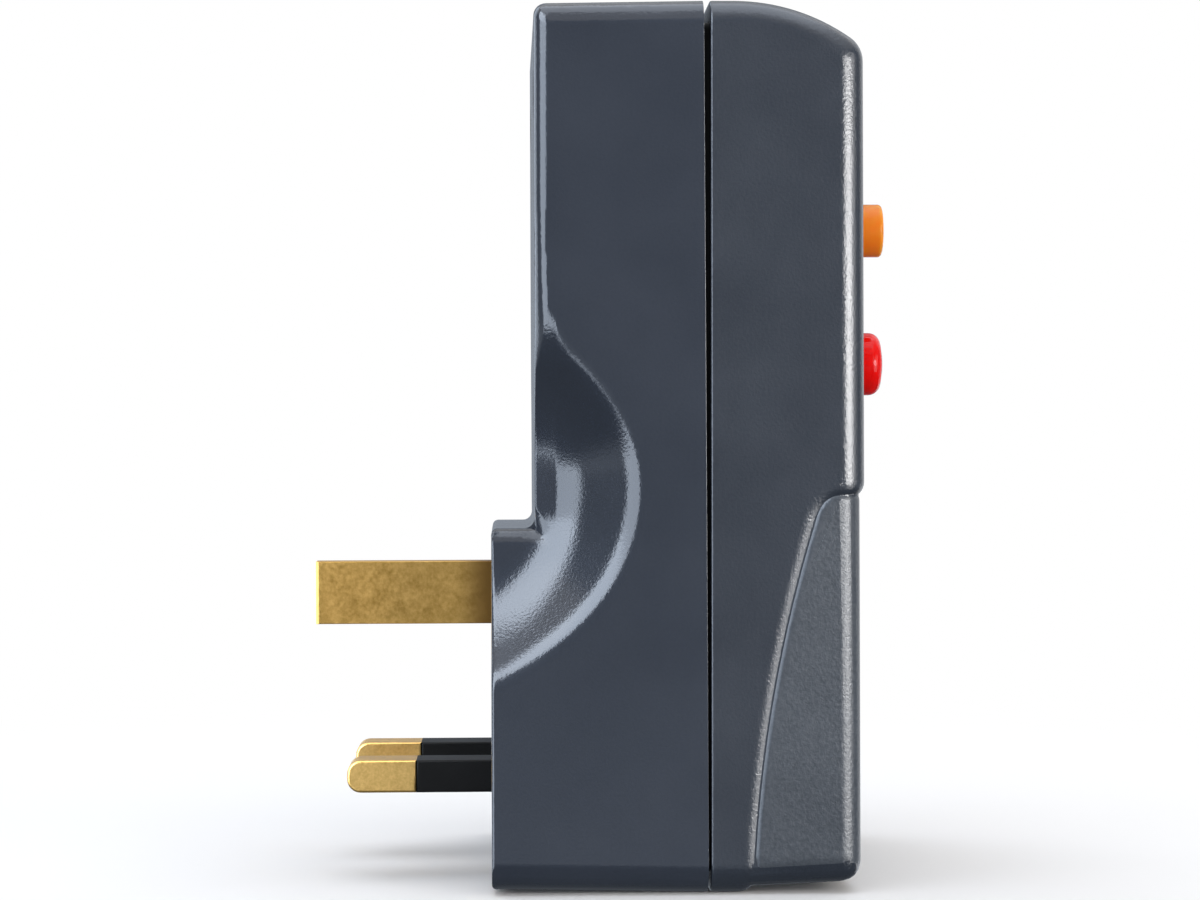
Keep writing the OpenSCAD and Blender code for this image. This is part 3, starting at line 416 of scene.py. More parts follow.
corner_radius = 1.2 * MM
corner_steps = 6
corner_sink = 0.3 * MM
corner_half = half_width - grip_depth - back_edge_radius
corner_outline = [
    (upper_back_y - corner_sink, plug_top_z - corner_sink),
    (upper_back_y + corner_radius, plug_top_z - corner_sink),
]
for step in range(corner_steps + 1):
    turn = math.pi / 2 * step / corner_steps
    corner_outline.append((
        upper_back_y + corner_radius * (1 - math.sin(turn)),
        plug_top_z + corner_radius * (1 - math.cos(turn)),
    ))
corner_outline.append((upper_back_y - corner_sink, plug_top_z + corner_radius))
carve(rear_shell, moulded_slab("corner_fillet", corner_outline, corner_half), "UNION")

rear_hollow = moulded_slab("rear_hollow", [
    (parting_y - past, base_z + wall, 0, inner_radius),
    (plug_face_y - wall, base_z + wall, inner_radius, inner_radius),
    (plug_face_y - wall, plug_top_z - wall, inner_radius, inner_radius),
    (upper_back_y - wall, plug_top_z - wall, 0, inner_radius),
    (upper_back_y - wall, top_z - wall, inner_radius, inner_radius),
    (parting_y - past, top_z - wall),
], half_width - wall, segments=2)
score(rear_hollow, (0, 0, 1), spread(*inner_lines_z))
score(rear_hollow, (0, 1, 0), spread(*inner_lines_y))
sink_grip(rear_hollow, half_width - wall, wall, 0)
tower_places = [(x, z) for x in (-tower_x, tower_x) for z in tower_heights]
towers = [rod(x, z, tower_radius, plug_face_y, parting_y) for x, z in tower_places]
carve(rear_hollow, gather(towers, "towers"))
carve(rear_shell, rear_hollow)
openings = [rod(x, z, head_recess_radius, plug_face_y + past, screw_seat_y) for x, z in tower_places]
pin_fit = 0.1 * MM
power_section = (6.35 * MM, 4 * MM)
earth_section = (4 * MM, 8 * MM)
slot_ys = (plug_face_y + past, plug_face_y - wall - past)
pin_places = ((-pin_x, row_z), (pin_x, row_z), (0, earth_z))
for (x, z), (width, height) in zip(pin_places, (power_section, power_section, earth_section)):
    openings.append(bar(x, z, width + pin_fit, height + pin_fit, *slot_ys))
carve(rear_shell, gather(openings, "rear_openings"))
shank_ys = (screw_seat_y + past, parting_y - past)
shank_holes = [rod(x, z, screw_radius + pin_fit, *shank_ys) for x, z in tower_places]
carve(rear_shell, gather(shank_holes, "shank_holes"))
settle(rear_shell)


def preset(node, values):
    """Set a node's own sockets."""
    for label, value in values.items():
        node.inputs[label].default_value = value


def moulded_skin():
    """Node group: grain height, slight colour drift and uneven gloss of a moulded or worked surface."""
    skin = bpy.data.node_groups.new("worked_skin", "ShaderNodeTree")
    for in_out, kind, labels in (
        ("INPUT", "NodeSocketColor", ("Dark", "Light")),
        ("INPUT", "NodeSocketFloat", ("Grain Scale", "Drift Scale", "Grain Share")),
        ("INPUT", "NodeSocketFloat", ("Gloss Low", "Gloss High")),
        ("OUTPUT", "NodeSocketColor", ("Colour",)),
        ("OUTPUT", "NodeSocketFloat", ("Roughness", "Height")),
    ):
        for label in labels:
            skin.interface.new_socket(label, in_out=in_out, socket_type=kind)
    noise_range = {"From Min": 0.3, "From Max": 0.7}
    nodes, link = skin.nodes, skin.links.new
    given = nodes.new("NodeGroupInput")
    out = nodes.new("NodeGroupOutput")
    place = nodes.new("ShaderNodeTexCoord").outputs["Object"]
    grain = nodes.new("ShaderNodeTexNoise")
    preset(grain, {"Detail": 2, "Roughness": 0.6})
    drift = nodes.new("ShaderNodeTexNoise")
    preset(drift, {"Detail": 4})
    link(place, grain.inputs["Vector"])
    link(place, drift.inputs["Vector"])
    link(given.outputs["Grain Scale"], grain.inputs["Scale"])
    link(given.outputs["Drift Scale"], drift.inputs["Scale"])
    share = nodes.new("ShaderNodeMix")
    link(given.outputs["Grain Share"], share.inputs["Factor"])
    link(drift.outputs["Fac"], share.inputs["A"])
    link(grain.outputs["Fac"], share.inputs["B"])
    spread_out = nodes.new("ShaderNodeMapRange")
    preset(spread_out, noise_range)
    link(share.outputs["Result"], spread_out.inputs["Value"])
    tint = nodes.new("ShaderNodeMix")
    tint.data_type = "RGBA"
    link(spread_out.outputs["Result"], tint.inputs["Factor"])
    link(given.outputs["Dark"], tint.inputs["A"])
    link(given.outputs["Light"], tint.inputs["B"])
    gloss = nodes.new("ShaderNodeMapRange")
    link(share.outputs["Result"], gloss.inputs["Value"])
    preset(gloss, noise_range)
    link(given.outputs["Gloss Low"], gloss.inputs["To Min"])
    link(given.outputs["Gloss High"], gloss.inputs["To Max"])
    link(tint.outputs["Result"], out.inputs["Colour"])
    link(gloss.outputs["Result"], out.inputs["Roughness"])
    link(grain.outputs["Fac"], out.inputs["Height"])
    return skin


worked_skin = moulded_skin()
wander_depth = 5 * MM
wander_colour = (1, 0.5, 0.3)


def linear(red, green, blue):
    """A colour as it is seen on a screen, from 0 to 255, as linear light."""
    channels = [c / 255 for c in (red, green, blue)]
    return [c / 12.92 if c <= 0.04045 else ((c + 0.055) / 1.055) ** 2.4 for c in channels] + [1]


def blank_material(name):
    """New material, with its nodes, its link function and its shader."""
    material = bpy.data.materials.new(name)
    material.use_nodes = True
    nodes = material.node_tree.nodes
    return material, nodes, material.node_tree.links.new, nodes["Principled BSDF"]


def finish(
    name, dark, light, gloss, grain_scale, grain_depth, share=0.3, drift_scale=90, metal=0, ior=1.5, soft=0,
):
    """Material of one moulded or worked surface; soft is the share of light that wanders inside it."""
    material, nodes, link, shader = blank_material(name)
    preset(shader, {
        "Metallic": metal, "IOR": ior, "Subsurface Weight": soft,
        "Subsurface Scale": wander_depth, "Subsurface Radius": wander_colour,
    })
    skin = nodes.new("ShaderNodeGroup")
    skin.node_tree = worked_skin
    preset(skin, {
        "Dark": linear(*dark), "Light": linear(*light), "Gloss Low": gloss[0], "Gloss High": gloss[1],
        "Grain Scale": grain_scale, "Drift Scale": drift_scale, "Grain Share": share,
    })
    relief = nodes.new("ShaderNodeBump")
    preset(relief, {"Strength": 1, "Distance": grain_depth})
    link(skin.outputs["Colour"], shader.inputs["Base Color"])
    link(skin.outputs["Roughness"], shader.inputs["Roughness"])
    link(skin.outputs["Height"], relief.inputs["Height"])
    link(relief.outputs["Normal"], shader.inputs["Normal"])
    return material


rear_plastic = finish(
    "rear_casing_plastic", (43, 49, 60), (49, 55, 66), (0.12, 0.18), 2700, 0.026 * MM, ior=1.57,
)
dress(rear_shell, 0, rear_plastic)
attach(rear_shell, "casing")
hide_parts("rear_casing")


# Front cover
# Front half of the body, moulded in the same plastic with a slightly coarser grain. The socket block
# at its lower front lies a little deeper than the rest, below a rounded ridge, and is coarser still.
# A thin lip inside the rim locates it in the rear half, and bosses take the casing screws. The lip
# and its root are painted near black, as painted shade down in the parting gap.
cover_low, cover_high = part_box("front_cover")
front_y = cover_low.y
lip_y = cover_high.y
crown_y = front_y + 15.55 * MM
crown_radius = 24.5 * MM
crown_z = top_z - crown_radius
crown_steps = 16
brow_radius = 3.5 * MM
brow_steps = 6
foot_radius = 2.5 * MM
cover_rim_ease = 0.3 * MM
ridge_radius = 1.9 * MM
ridge_spread = 1.9
sharp_edge = math.radians(50)
step_z = earth_z + 12.4 * MM
panel_step = 0.6 * MM
side_step = 0.15 * MM
socket_y = front_y + panel_step
socket_in_y = socket_y + 3 * MM
front_in_y = front_y + wall
groove_depth = 0.2 * MM
ridge_overlap = 0.7 * MM
block_foot_y = parting_y - 5.6 * MM
block_turn = (parting_y - 13 * MM, 20.6 * MM)
block_bow = 1.3 * MM
block_lift = 0.4 * MM
block_slope = 0.06
block_edge_radius = 2.7 * MM
block_rim_radius = 1 * MM
block_tail = 4 * MM
block_side_steps = 18
block_corner_steps = 10
block_corner_reach = 2.4 * MM
block_end_y = front_y - 5 * MM
cover_rim = (parting_y - parting_half_gap[0], parting_y - parting_half_gap[1])


def crown(inset, side_radius, front, corner=0):
    """Points of the curved top, from a round corner at the front to where the top runs level."""
    radius = crown_radius - inset
    brow = math.asin((crown_y - front - corner) / (radius - corner))
    points = []
    if corner:
        corner_z = crown_z + (radius - corner) * math.cos(brow)
        for step in range(brow_steps):
            turn = (math.pi / 2 - brow) * step / brow_steps
            y, z = front + corner * (1 - math.cos(turn)), corner_z + corner * math.sin(turn)
            points.append((y, z, 0, side_radius))
    for step in range(crown_steps + 1):
        turn = brow * (1 - step / crown_steps)
        y, z = crown_y - radius * math.sin(turn), crown_z + radius * math.cos(turn)
        points.append((y, z, 0, side_radius))
    return points


def block_region(gap):
    """Side outline of the socket block, drawn in from the ridge by a gap."""
    lean = block_foot_y - block_turn[0]
    points = []
    for step in range(-1, block_side_steps + 1):
        t = step / block_side_steps
        y = block_foot_y - block_bow * t * (1 - t) - lean * t * t
        points.append((y - gap, base_z + (block_turn[1] - base_z) * t))
    end_slope = (2 * lean - block_bow) / (block_turn[1] - base_z)
    rise = step_z - block_turn[1]
    corner = [
        (block_turn[0] - gap, block_turn[1]),
        (block_turn[0] - gap - end_slope * rise, step_z - gap),
        (block_turn[0] - gap - end_slope * rise - block_corner_reach, step_z - gap),
    ]
    for step in range(1, block_corner_steps + 1):
        t = step / block_corner_steps
        points.append(tuple(
            a * (1 - t) ** 2 + 2 * b * t * (1 - t) + c * t * t for a, b, c in zip(*corner)
        ))
    return points + [(block_end_y, step_z - gap), (block_end_y, points[0][1])]


def stretch_across(form, factor):
    """Scale a form across X about the middle plane."""
    take(form)
    form.scale.x = factor
    bpy.ops.object.transform_apply()


def round_cut_edges(form, radius, segments, spread_out=1):
    """Round the sharp edges that a cut has left, on the sides in a curve that is wider than deep."""
    stretch_across(form, spread_out)
    take(form)
    open_mesh()
    bpy.ops.mesh.select_mode(type="EDGE")
    bpy.ops.mesh.select_all(action="DESELECT")
    bpy.ops.mesh.edges_select_sharp(sharpness=sharp_edge)
    close_mesh()
    corners = form.data.vertices
    for edge in form.data.edges:
        edge.select = edge.select and all(corners[i].co.z < step_z + past for i in edge.vertices)
    open_mesh()
    bpy.ops.mesh.bevel(offset=radius, segments=segments)
    close_mesh()
    stretch_across(form, 1 / spread_out)
    for vertex in form.data.vertices:
        vertex.co.x = max(-half_width, min(half_width, vertex.co.x))


def block_bottom(y, inset):
    """Height of the socket block's underside, which rises towards the front."""
    return base_z + inset + block_slope * max(block_foot_y - y, 0)


cover_plastic = finish(
    "front_cover_plastic", (37, 43, 53), (46, 52, 62), (0.2, 0.27), 2700, 0.042 * MM, ior=1.57,
)
block_plastic = finish(
    "socket_block_plastic", (44, 50, 58), (66, 72, 80), (0.3, 0.4), 2400, 0.05 * MM, share=0.6, ior=1.57,
)
# Painted shade: the lip behind the parting gap is given a near-black colour for the shade in the gap.
lip_painted_shade = finish("cover_lip_painted_shade", (9, 10, 11), (13, 14, 15), (0.5, 0.6), 3200, 0.02 * MM, ior=1.3)
cover_shell = moulded_slab("front_cover_shell", [
    (cover_rim[0], top_z),
    (cover_rim[1], base_z, 0, bottom_edge_radius),
    (front_y, base_z, foot_radius, top_edge_radius),
] + crown(0, top_edge_radius, front_y, brow_radius), half_width)
ease_rim(cover_shell, 1, cover_rim_ease, 4)
block_tool = moulded_slab("block_tool", block_region(0), half_width + past)
carve(cover_shell, block_tool)
round_cut_edges(cover_shell, ridge_radius, 8, ridge_spread)
block_back_y = block_foot_y + block_tail
block_front = moulded_slab("block_front", [
    (block_back_y, block_bottom(block_back_y, block_lift), 0, bottom_edge_radius),
    (socket_y, block_bottom(socket_y, block_lift), foot_radius, block_edge_radius),
    (socket_y, step_z + past),
    (block_back_y, step_z + past),
], half_width - side_step)
carve(block_front, moulded_slab("block_trim", block_region(-ridge_overlap), half_width + past), "INTERSECT")
round_cut_edges(block_front, block_rim_radius, 5)
core_lift = block_lift + groove_depth
core_front_y = socket_y + 0.1 * MM
core_radii = (2 * MM, 2.5 * MM)
block_core = moulded_slab("block_core", [
    (block_back_y, block_bottom(block_back_y, core_lift), 0, core_radii[1]),
    (core_front_y, block_bottom(front_y, core_lift), *core_radii),
    (core_front_y, step_z + 2 * past),
    (block_back_y, step_z + 2 * past),
], half_width - side_step - groove_depth, segments=4)
cover_finishes = (cover_plastic, block_plastic, lip_painted_shade)
dress(cover_shell, 0, *cover_finishes)
dress(block_front, 1, *cover_finishes)
dress(block_core, 0, *cover_finishes)
carve(cover_shell, block_front, "UNION")
carve(cover_shell, block_core, "UNION")

cover_inner_radius = 0.5 * MM
cover_hollow = moulded_slab("cover_hollow", [
    (parting_y + past, top_z - wall),
    (parting_y + past, base_z + wall, 0, cover_inner_radius),
    (socket_in_y, base_z + wall, cover_inner_radius, cover_inner_radius),
    (socket_in_y, step_z + wall, 0, cover_inner_radius),
    (front_in_y, step_z + wall, cover_inner_radius, cover_inner_radius),
] + crown(wall, cover_inner_radius, front_in_y), half_width - wall, segments=2)
boss_radius = 3.5 * MM
board_post_radius = 2.8 * MM
carrier_post_radius = 2.6 * MM
post_sides = 24
board_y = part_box("circuit_board")[0].y
board_low, board_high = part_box("circuit_board_screws")
screw_inset = 2 * MM
carrier_low, carrier_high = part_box("socket_carrier_screws")
carrier_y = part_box("socket_carrier")[0].y
front_rest_y = front_in_y - past
bosses = [rod(x, z, boss_radius, parting_y - past / 2, front_rest_y) for x, z in tower_places]
for x in (board_low.x + screw_inset, board_high.x - screw_inset):
    for z in (board_low.z + screw_inset, board_high.z - screw_inset):
        bosses.append(rod(x, z, board_post_radius, board_y, front_rest_y, post_sides))
for x in (carrier_low.x + screw_inset, carrier_high.x - screw_inset):
    z = (carrier_low.z + carrier_high.z) / 2
    bosses.append(rod(x, z, carrier_post_radius, carrier_y, front_rest_y, post_sides))
carve(cover_hollow, gather(bosses, "bosses"))
carve(cover_shell, cover_hollow)


def lip_ring(inset, y_from, y_to, thickness):
    """Band that runs round inside the rim."""
    bands = []
    for more, reach in ((0, 0), (thickness, past)):
        edge = inset + more
        bands.append(moulded_slab("lip_band", [
            (y_to - reach, base_z + edge, 0, past), (y_from + reach, base_z + edge),
            (y_from + reach, top_z - edge, 0, past), (y_to - reach, top_z - edge),
        ], half_width - edge, segments=4))
    carve(bands[0], bands[1])
    # The bands take the third finish, the near-black painted shade of the parting gap.
    dress(bands[0], 2, *cover_finishes)
    return bands[0]


lip_thickness = 1.2 * MM
lip_gap = 0.15 * MM
root_inset = 0.4 * MM
root_depth = 2.5 * MM
root_thickness = 1.95 * MM
root_ys = (cover_rim[0] - root_inset, cover_rim[0] - root_depth)
carve(cover_shell, lip_ring(wall - root_inset, *root_ys, root_thickness), "UNION")
carve(cover_shell, lip_ring(wall + lip_gap, lip_y, cover_rim[0] - past, lip_thickness), "UNION")


def flared(tool, y, flare):
    """Widen the end of a tool so that it leaves a chamfer round its opening."""
    ends = [v.co for v in tool.data.vertices if v.co.y < y]
    middle = sum(ends, Vector()) / len(ends)
    reach = Vector([max(abs(c[i] - middle[i]) for c in ends) for i in range(3)])
    pick_faces(tool, lambda normal: normal.y < -0.9)
    bpy.ops.mesh.extrude_region_move(TRANSFORM_OT_translate={"value": (0, -2 * flare, 0)})
    bpy.ops.transform.resize(
        value=((reach.x + 2 * flare) / reach.x, 1, (reach.z + 2 * flare) / reach.z),
        center_override=middle,
    )
    close_mesh()
    return tool


slot_flare = 0.35 * MM
reset_low, reset_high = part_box("reset_button")
test_low, test_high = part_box("test_button")
flange_rim = 1.3 * MM
button_fit = 0.25 * MM
reset_radius = reset_high.x - flange_rim
test_radius = test_high.x - flange_rim
reset_z = (reset_low.z + reset_high.z) / 2
test_z = (test_low.z + test_high.z) / 2
power_slot = (7.2 * MM, 4.8 * MM)
earth_slot = (4.8 * MM, 8.8 * MM)
round_sides = 64
face_holes = []
for (x, z), size in zip(pin_places, (power_slot, power_slot, earth_slot)):
    slot = bar(x, z, *size, socket_in_y + past, socket_y + slot_flare)
    face_holes.append(flared(slot, socket_y + 2 * slot_flare, slot_flare))
for z, radius in ((reset_z, reset_radius), (test_z, test_radius)):
    hole = rod(0, z, radius + button_fit, front_in_y + past, front_y + slot_flare, round_sides)
    face_holes.append(flared(hole, front_y + 2 * slot_flare, slot_flare))
carve(cover_shell, gather(face_holes, "face_holes"))
settle(cover_shell)
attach(cover_shell, "casing")
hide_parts("front_cover")


# Casing screws
# Four long steel pan-head screws in the deep holes of the back, driven through the rear towers into
# the cover's bosses. Each head has a cross recess, and the plating has gone a little dull.
screws_low, screws_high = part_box("casing_screws")
screw_head_radius = 2.9 * MM
head_top_y = screws_high.y
pan_round = (1 * MM, 0.8 * MM)
pan_steps = 5
screw_point = (0.3 * MM, 2 * MM)
screw_sides = 32
seam_reach = 0.002 * MM
cross_length = 3 * MM
cross_width = 0.75 * MM
cross_ys = (head_top_y - 1.3 * MM, head_top_y + past)


def turned(name, profile, steps):
    """Spin a profile of (radius, y) points round the Y axis into a closed form."""
    start()
    bpy.ops.mesh.primitive_circle_add(vertices=len(profile))
    form = bpy.context.object
    form.name = name
    for vertex, (radius, y) in zip(form.data.vertices, profile):
        vertex.co = (radius, y, 0)
    open_mesh("SELECT")
    bpy.ops.mesh.spin(steps=steps, angle=2 * math.pi, center=(0, 0, 0), axis=(0, 1, 0))
    bpy.ops.mesh.select_all(action="SELECT")
    bpy.ops.mesh.remove_doubles(threshold=seam_reach)
    bpy.ops.mesh.delete_loose()
    bpy.ops.mesh.select_all(action="SELECT")
    bpy.ops.mesh.normals_make_consistent()
    close_mesh()
    return form


def moved_to(form, x, z):
    """Set a form in place and take the move into its mesh."""
    take(form)
    form.location = (x, 0, z)
    bpy.ops.object.transform_apply()
    return form


pan_profile = [(0, head_top_y)]
for step in range(pan_steps + 1):
    turn = math.pi / 2 * step / pan_steps
    pan_profile.append((
        screw_head_radius - pan_round[0] * (1 - math.sin(turn)),
        head_top_y - pan_round[1] * (1 - math.cos(turn)),
    ))
pan_profile += [
    (screw_head_radius, screw_seat_y),
    (screw_radius, screw_seat_y),
    (screw_radius, screws_low.y + screw_point[1]),
    (screw_point[0], screws_low.y),
    (0, screws_low.y),
]
first_screw = turned("casing_screw_set", pan_profile, screw_sides)
cross = bar(0, 0, cross_length, cross_width, *cross_ys)
carve(cross, bar(0, 0, cross_width, cross_length, *cross_ys), "UNION")
carve(first_screw, cross)
screw_set = []
for x, z in tower_places:
    take(first_screw)
    bpy.ops.object.duplicate()
    screw_set.append(moved_to(bpy.context.object, x, z))
bpy.data.objects.remove(first_screw)
casing_screws = gather(screw_set, "casing_screw_set")
settle(casing_screws)
steel = finish("dull_plated_steel", (150, 150, 152), (182, 182, 182), (0.3, 0.45), 1800, 0.002 * MM, metal=1)
dress(casing_screws, 0, steel)
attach(casing_screws, "casing")
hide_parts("casing_screws")


# Pins
# Three solid brass pins held by their shoulders inside the plug block. The earth pin is bare and
# square cut with a small chamfer; the power pins have a round tip and a waist under the sleeve.
# The metal is drawn and tumbled, so its tone is a little uneven.
# The earth pin takes a darker brass than the power pins.
earth_brass = finish(
    "darker_earth_brass", (182, 140, 68), (212, 168, 96), (0.32, 0.46), 2200, 0.004 * MM,
    share=0.55, drift_scale=700, metal=1,
)
power_brass = finish(
    "tumbled_brass", (222, 176, 98), (248, 204, 126), (0.3, 0.42), 3000, 0.005 * MM,
    share=0.6, drift_scale=900, metal=1,
)


def darken_root(material, clean_y, darkest):
    """Darken a pin's metal towards its root at the plug face."""
    nodes, link = material.node_tree.nodes, material.node_tree.links.new
    shader = nodes["Principled BSDF"]
    skin = shader.inputs["Base Color"].links[0].from_socket
    place = nodes.new("ShaderNodeSeparateXYZ")
    link(nodes.new("ShaderNodeTexCoord").outputs["Object"], place.inputs[0])
    reach = nodes.new("ShaderNodeMapRange")
    reach.interpolation_type = "SMOOTHSTEP"
    preset(reach, {"From Min": plug_face_y, "From Max": clean_y})
    link(place.outputs["Y"], reach.inputs["Value"])
    root_darkening = nodes.new("ShaderNodeMix")
    root_darkening.data_type = "RGBA"
    link(reach.outputs["Result"], root_darkening.inputs["Factor"])
    root_darkening.inputs["A"].default_value = linear(*darkest)
    link(skin, root_darkening.inputs["B"])
    link(root_darkening.outputs["Result"], shader.inputs["Base Color"])


# The earth pin's brass grows darker over its last few millimetres towards the plug face.
root_darkening_length = 5 * MM
darken_root(earth_brass, plug_face_y + root_darkening_length, (128, 94, 48))
shoulder_rim = 1.2 * MM
shoulder_thickness = 2 * MM
shoulder_ys = (plug_face_y - wall, plug_face_y - wall - shoulder_thickness)
sleeve_inset = 0.5 * MM
power_edge = 0.35 * MM
earth_edge = 0.08 * MM
earth_tail_height = 4 * MM
pin_shading = 30
tip_steps = 8


def pin_body(name, outline, x, half):
    """Outer length of a pin or sleeve, from its side outline with the radii of its long edges."""
    return moved_to(moulded_slab(name, outline, half, segments=3), x, 0)


power_tip_radius = 1.7 * MM
power_pins = {}
for name, x in (("live_pin", pin_x), ("neutral_pin", -pin_x)):
    pin_low, pin_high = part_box(name)
    sleeve_low, sleeve_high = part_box(name + "_sleeve")
    half_w = (sleeve_high.x - sleeve_low.x) / 2
    half_h = (sleeve_high.z - sleeve_low.z) / 2
    outline = [(sleeve_high.y, row_z - half_h, 0, power_edge)]
    for step in range(2 * tip_steps + 1):
        turn = math.pi * (step / (2 * tip_steps) - 0.5)
        lift = math.copysign(half_h - power_tip_radius, turn) if step != tip_steps else 0
        outline.append((
            pin_high.y - power_tip_radius * (1 - math.cos(turn)),
            row_z + lift + power_tip_radius * math.sin(turn), 0, power_edge,
        ))
    outline.append((sleeve_high.y, row_z + half_h, 0, power_edge))
    pin = pin_body(name + "_brass", outline, x, half_w)
    waist = (2 * (half_w - sleeve_inset), 2 * (half_h - sleeve_inset))
    carve(pin, bar(x, row_z, waist[0], waist[1], sleeve_high.y + past, pin_low.y), "UNION")
    collar = (2 * (half_w + shoulder_rim), 2 * (half_h + shoulder_rim))
    carve(pin, bar(x, row_z, collar[0], collar[1], *shoulder_ys), "UNION")
    power_pins[name] = pin
earth_low, earth_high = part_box("earth_pin")
earth_half_w = earth_high.x - shoulder_rim
earth_half_h = (earth_high.z - earth_low.z) / 2 - shoulder_rim
tip_cut = 0.45 * MM
earth_pin = pin_body("earth_pin_brass", [
    (slot_ys[1], earth_z - earth_half_h, 0, earth_edge),
    (earth_high.y, earth_z - earth_half_h, 0, tip_cut),
    (earth_high.y, earth_z + earth_half_h, 0, earth_edge),
    (slot_ys[1], earth_z + earth_half_h, 0, earth_edge),
], 0, earth_half_w)
carve(earth_pin, bar(0, earth_z, 2 * earth_high.x, earth_high.z - earth_low.z, *shoulder_ys), "UNION")
earth_tail_ys = (shoulder_ys[1] + past, earth_low.y)
carve(earth_pin, bar(0, earth_z, 2 * earth_half_w, earth_tail_height, *earth_tail_ys), "UNION")
for name, pin in (*power_pins.items(), ("earth_pin", earth_pin)):
    settle(pin, pin_shading)
    dress(pin, 0, earth_brass if pin == earth_pin else power_brass)
    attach(pin, "casing")
    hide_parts(name)


# Pin sleeves
# Black sleeves moulded round the waist of each power pin, flush with the brass, so that no bare
# metal shows while the plug is only half in. Matt, with the edges just broken.
sleeve_edge = 0.3 * MM
sleeve_plastic = finish(
    "pin_sleeve_plastic", (15, 15, 15), (22, 22, 22), (0.4, 0.5), 5000, 0.006 * MM, ior=1.22,
)
for name, x in (("live_pin_sleeve", pin_x), ("neutral_pin_sleeve", -pin_x)):
    sleeve_low, sleeve_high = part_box(name)
    half_w = (sleeve_high.x - sleeve_low.x) / 2
    half_h = (sleeve_high.z - sleeve_low.z) / 2
    sleeve = pin_body(name + "_moulding", [
        (y, z, 0, sleeve_edge) for y, z in (
            (sleeve_low.y, row_z - half_h), (sleeve_high.y, row_z - half_h),
            (sleeve_high.y, row_z + half_h), (sleeve_low.y, row_z + half_h),
        )
    ], x, half_w)
    bore = (2 * (half_w - sleeve_inset), 2 * (half_h - sleeve_inset))
    carve(sleeve, bar(x, row_z, *bore, sleeve_low.y - past, sleeve_high.y + past))
    settle(sleeve, pin_shading)
    dress(sleeve, 0, sleeve_plastic)
    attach(sleeve, "casing")
    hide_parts(name)


# Buttons
# Reset is a red dome and test an orange plunger with a flat end, both turned-looking mouldings in
# glossy plastic. A flange behind the panel keeps each one in its hole and a stem works the inside.
flange_play = 0.2 * MM
flange_y = front_in_y + flange_play
flange_thickness = 1.2 * MM
reset_crown = 0.3 * MM
reset_corner = 1.5 * MM
test_crown = 0.05 * MM
test_corner = 0.5 * MM
reset_stem_radius = 2 * MM
test_stem_radius = 1.5 * MM
button_shading = 40
crown_rings = 5
corner_rings = 8


def button(name, end_y, z, radius, stem_radius, end_profile):
    """Button with a shaped end, a flange and a stem, from the tip inwards to the stem's end."""
    profile = end_profile + [
        (radius, flange_y), (radius + flange_rim, flange_y),
        (radius + flange_rim, flange_y + flange_thickness), (stem_radius, flange_y + flange_thickness),
        (stem_radius, end_y), (0, end_y),
    ]
    return moved_to(turned(name, profile, round_sides), 0, z)


def rounded_end(tip_y, radius, crown_height, corner):
    """Profile of a button's end: a slightly domed face that turns into the side round a corner."""
    flat = radius - corner
    profile = []
    for ring in range(crown_rings):
        share = ring / crown_rings
        profile.append((flat * share, tip_y + crown_height * share ** 2))
    for ring in range(corner_rings + 1):
        turn = math.pi / 2 * ring / corner_rings
        y = tip_y + crown_height + corner * (1 - math.cos(turn))
        profile.append((flat + corner * math.sin(turn), y))
    return profile


dome = rounded_end(reset_low.y, reset_radius, reset_crown, reset_corner)
flat_end = rounded_end(test_low.y, test_radius, test_crown, test_corner)
reset_button = button("reset_button_cap", reset_high.y, reset_z, reset_radius, reset_stem_radius, dome)
test_button = button("test_button_cap", test_high.y, test_z, test_radius, test_stem_radius, flat_end)
red_plastic = finish(
    "reset_red_plastic", (228, 14, 12), (242, 20, 16), (0.1, 0.14), 900, 0.003 * MM, ior=1.25, soft=1,
)
orange_plastic = finish(
    "test_orange_plastic", (255, 134, 34), (255, 148, 44), (0.16, 0.22), 900, 0.003 * MM, ior=1.25, soft=1,
)
for piece, node, plastic, slot_name in (
    (reset_button, "reset_button", red_plastic, "reset_red"),
    (test_button, "test_button", orange_plastic, "test_orange"),
):
    settle(piece, button_shading)
    dress(piece, 0, plastic)
    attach(piece, node)
    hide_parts(node)


# Inner works
# Contacts, mechanism and circuit board stay as the solids that the part is built from. Each takes the
# finish of what it is really made of: stamped brass, steel, copper wire, moulded nylon, glass-epoxy
# board and coated components.
inner_finish = {
    "steel": steel,
    "copper": finish("enamelled_copper", (170, 92, 54), (198, 116, 72), (0.3, 0.42), 2500, 0.006 * MM, metal=1),
    "brass": finish(
        "stamped_brass", (190, 152, 88), (212, 178, 112), (0.25, 0.38), 2400, 0.003 * MM,
        drift_scale=500, metal=1,
    ),
    "white_moulding": finish("white_nylon", (208, 207, 200), (224, 223, 217), (0.4, 0.5), 3500, 0.006 * MM),
    "board": finish("glass_epoxy_board", (22, 84, 46), (30, 100, 58), (0.3, 0.4), 3000, 0.004 * MM),
    "black_component": finish(
        "black_component_body", (24, 24, 26), (34, 34, 36), (0.42, 0.55), 4000, 0.006 * MM,
    ),
    "film_capacitor": finish(
        "film_capacitor_case", (186, 152, 46), (202, 168, 60), (0.3, 0.4), 2500, 0.004 * MM,
    ),
    "varistor": finish("varistor_coating", (44, 68, 128), (56, 82, 146), (0.28, 0.38), 2000, 0.008 * MM),
    "resistor": finish("resistor_coating", (178, 160, 118), (196, 180, 138), (0.4, 0.5), 2500, 0.006 * MM),
}
slot_of = {row["node"]: row["material_slot"] for row in frame["record"]["subparts"]}
for name, node in frame["nodes"].items():
    if node.hide_render:
        continue
    for place in node.material_slots:
        place.material = inner_finish[slot_of[name]]


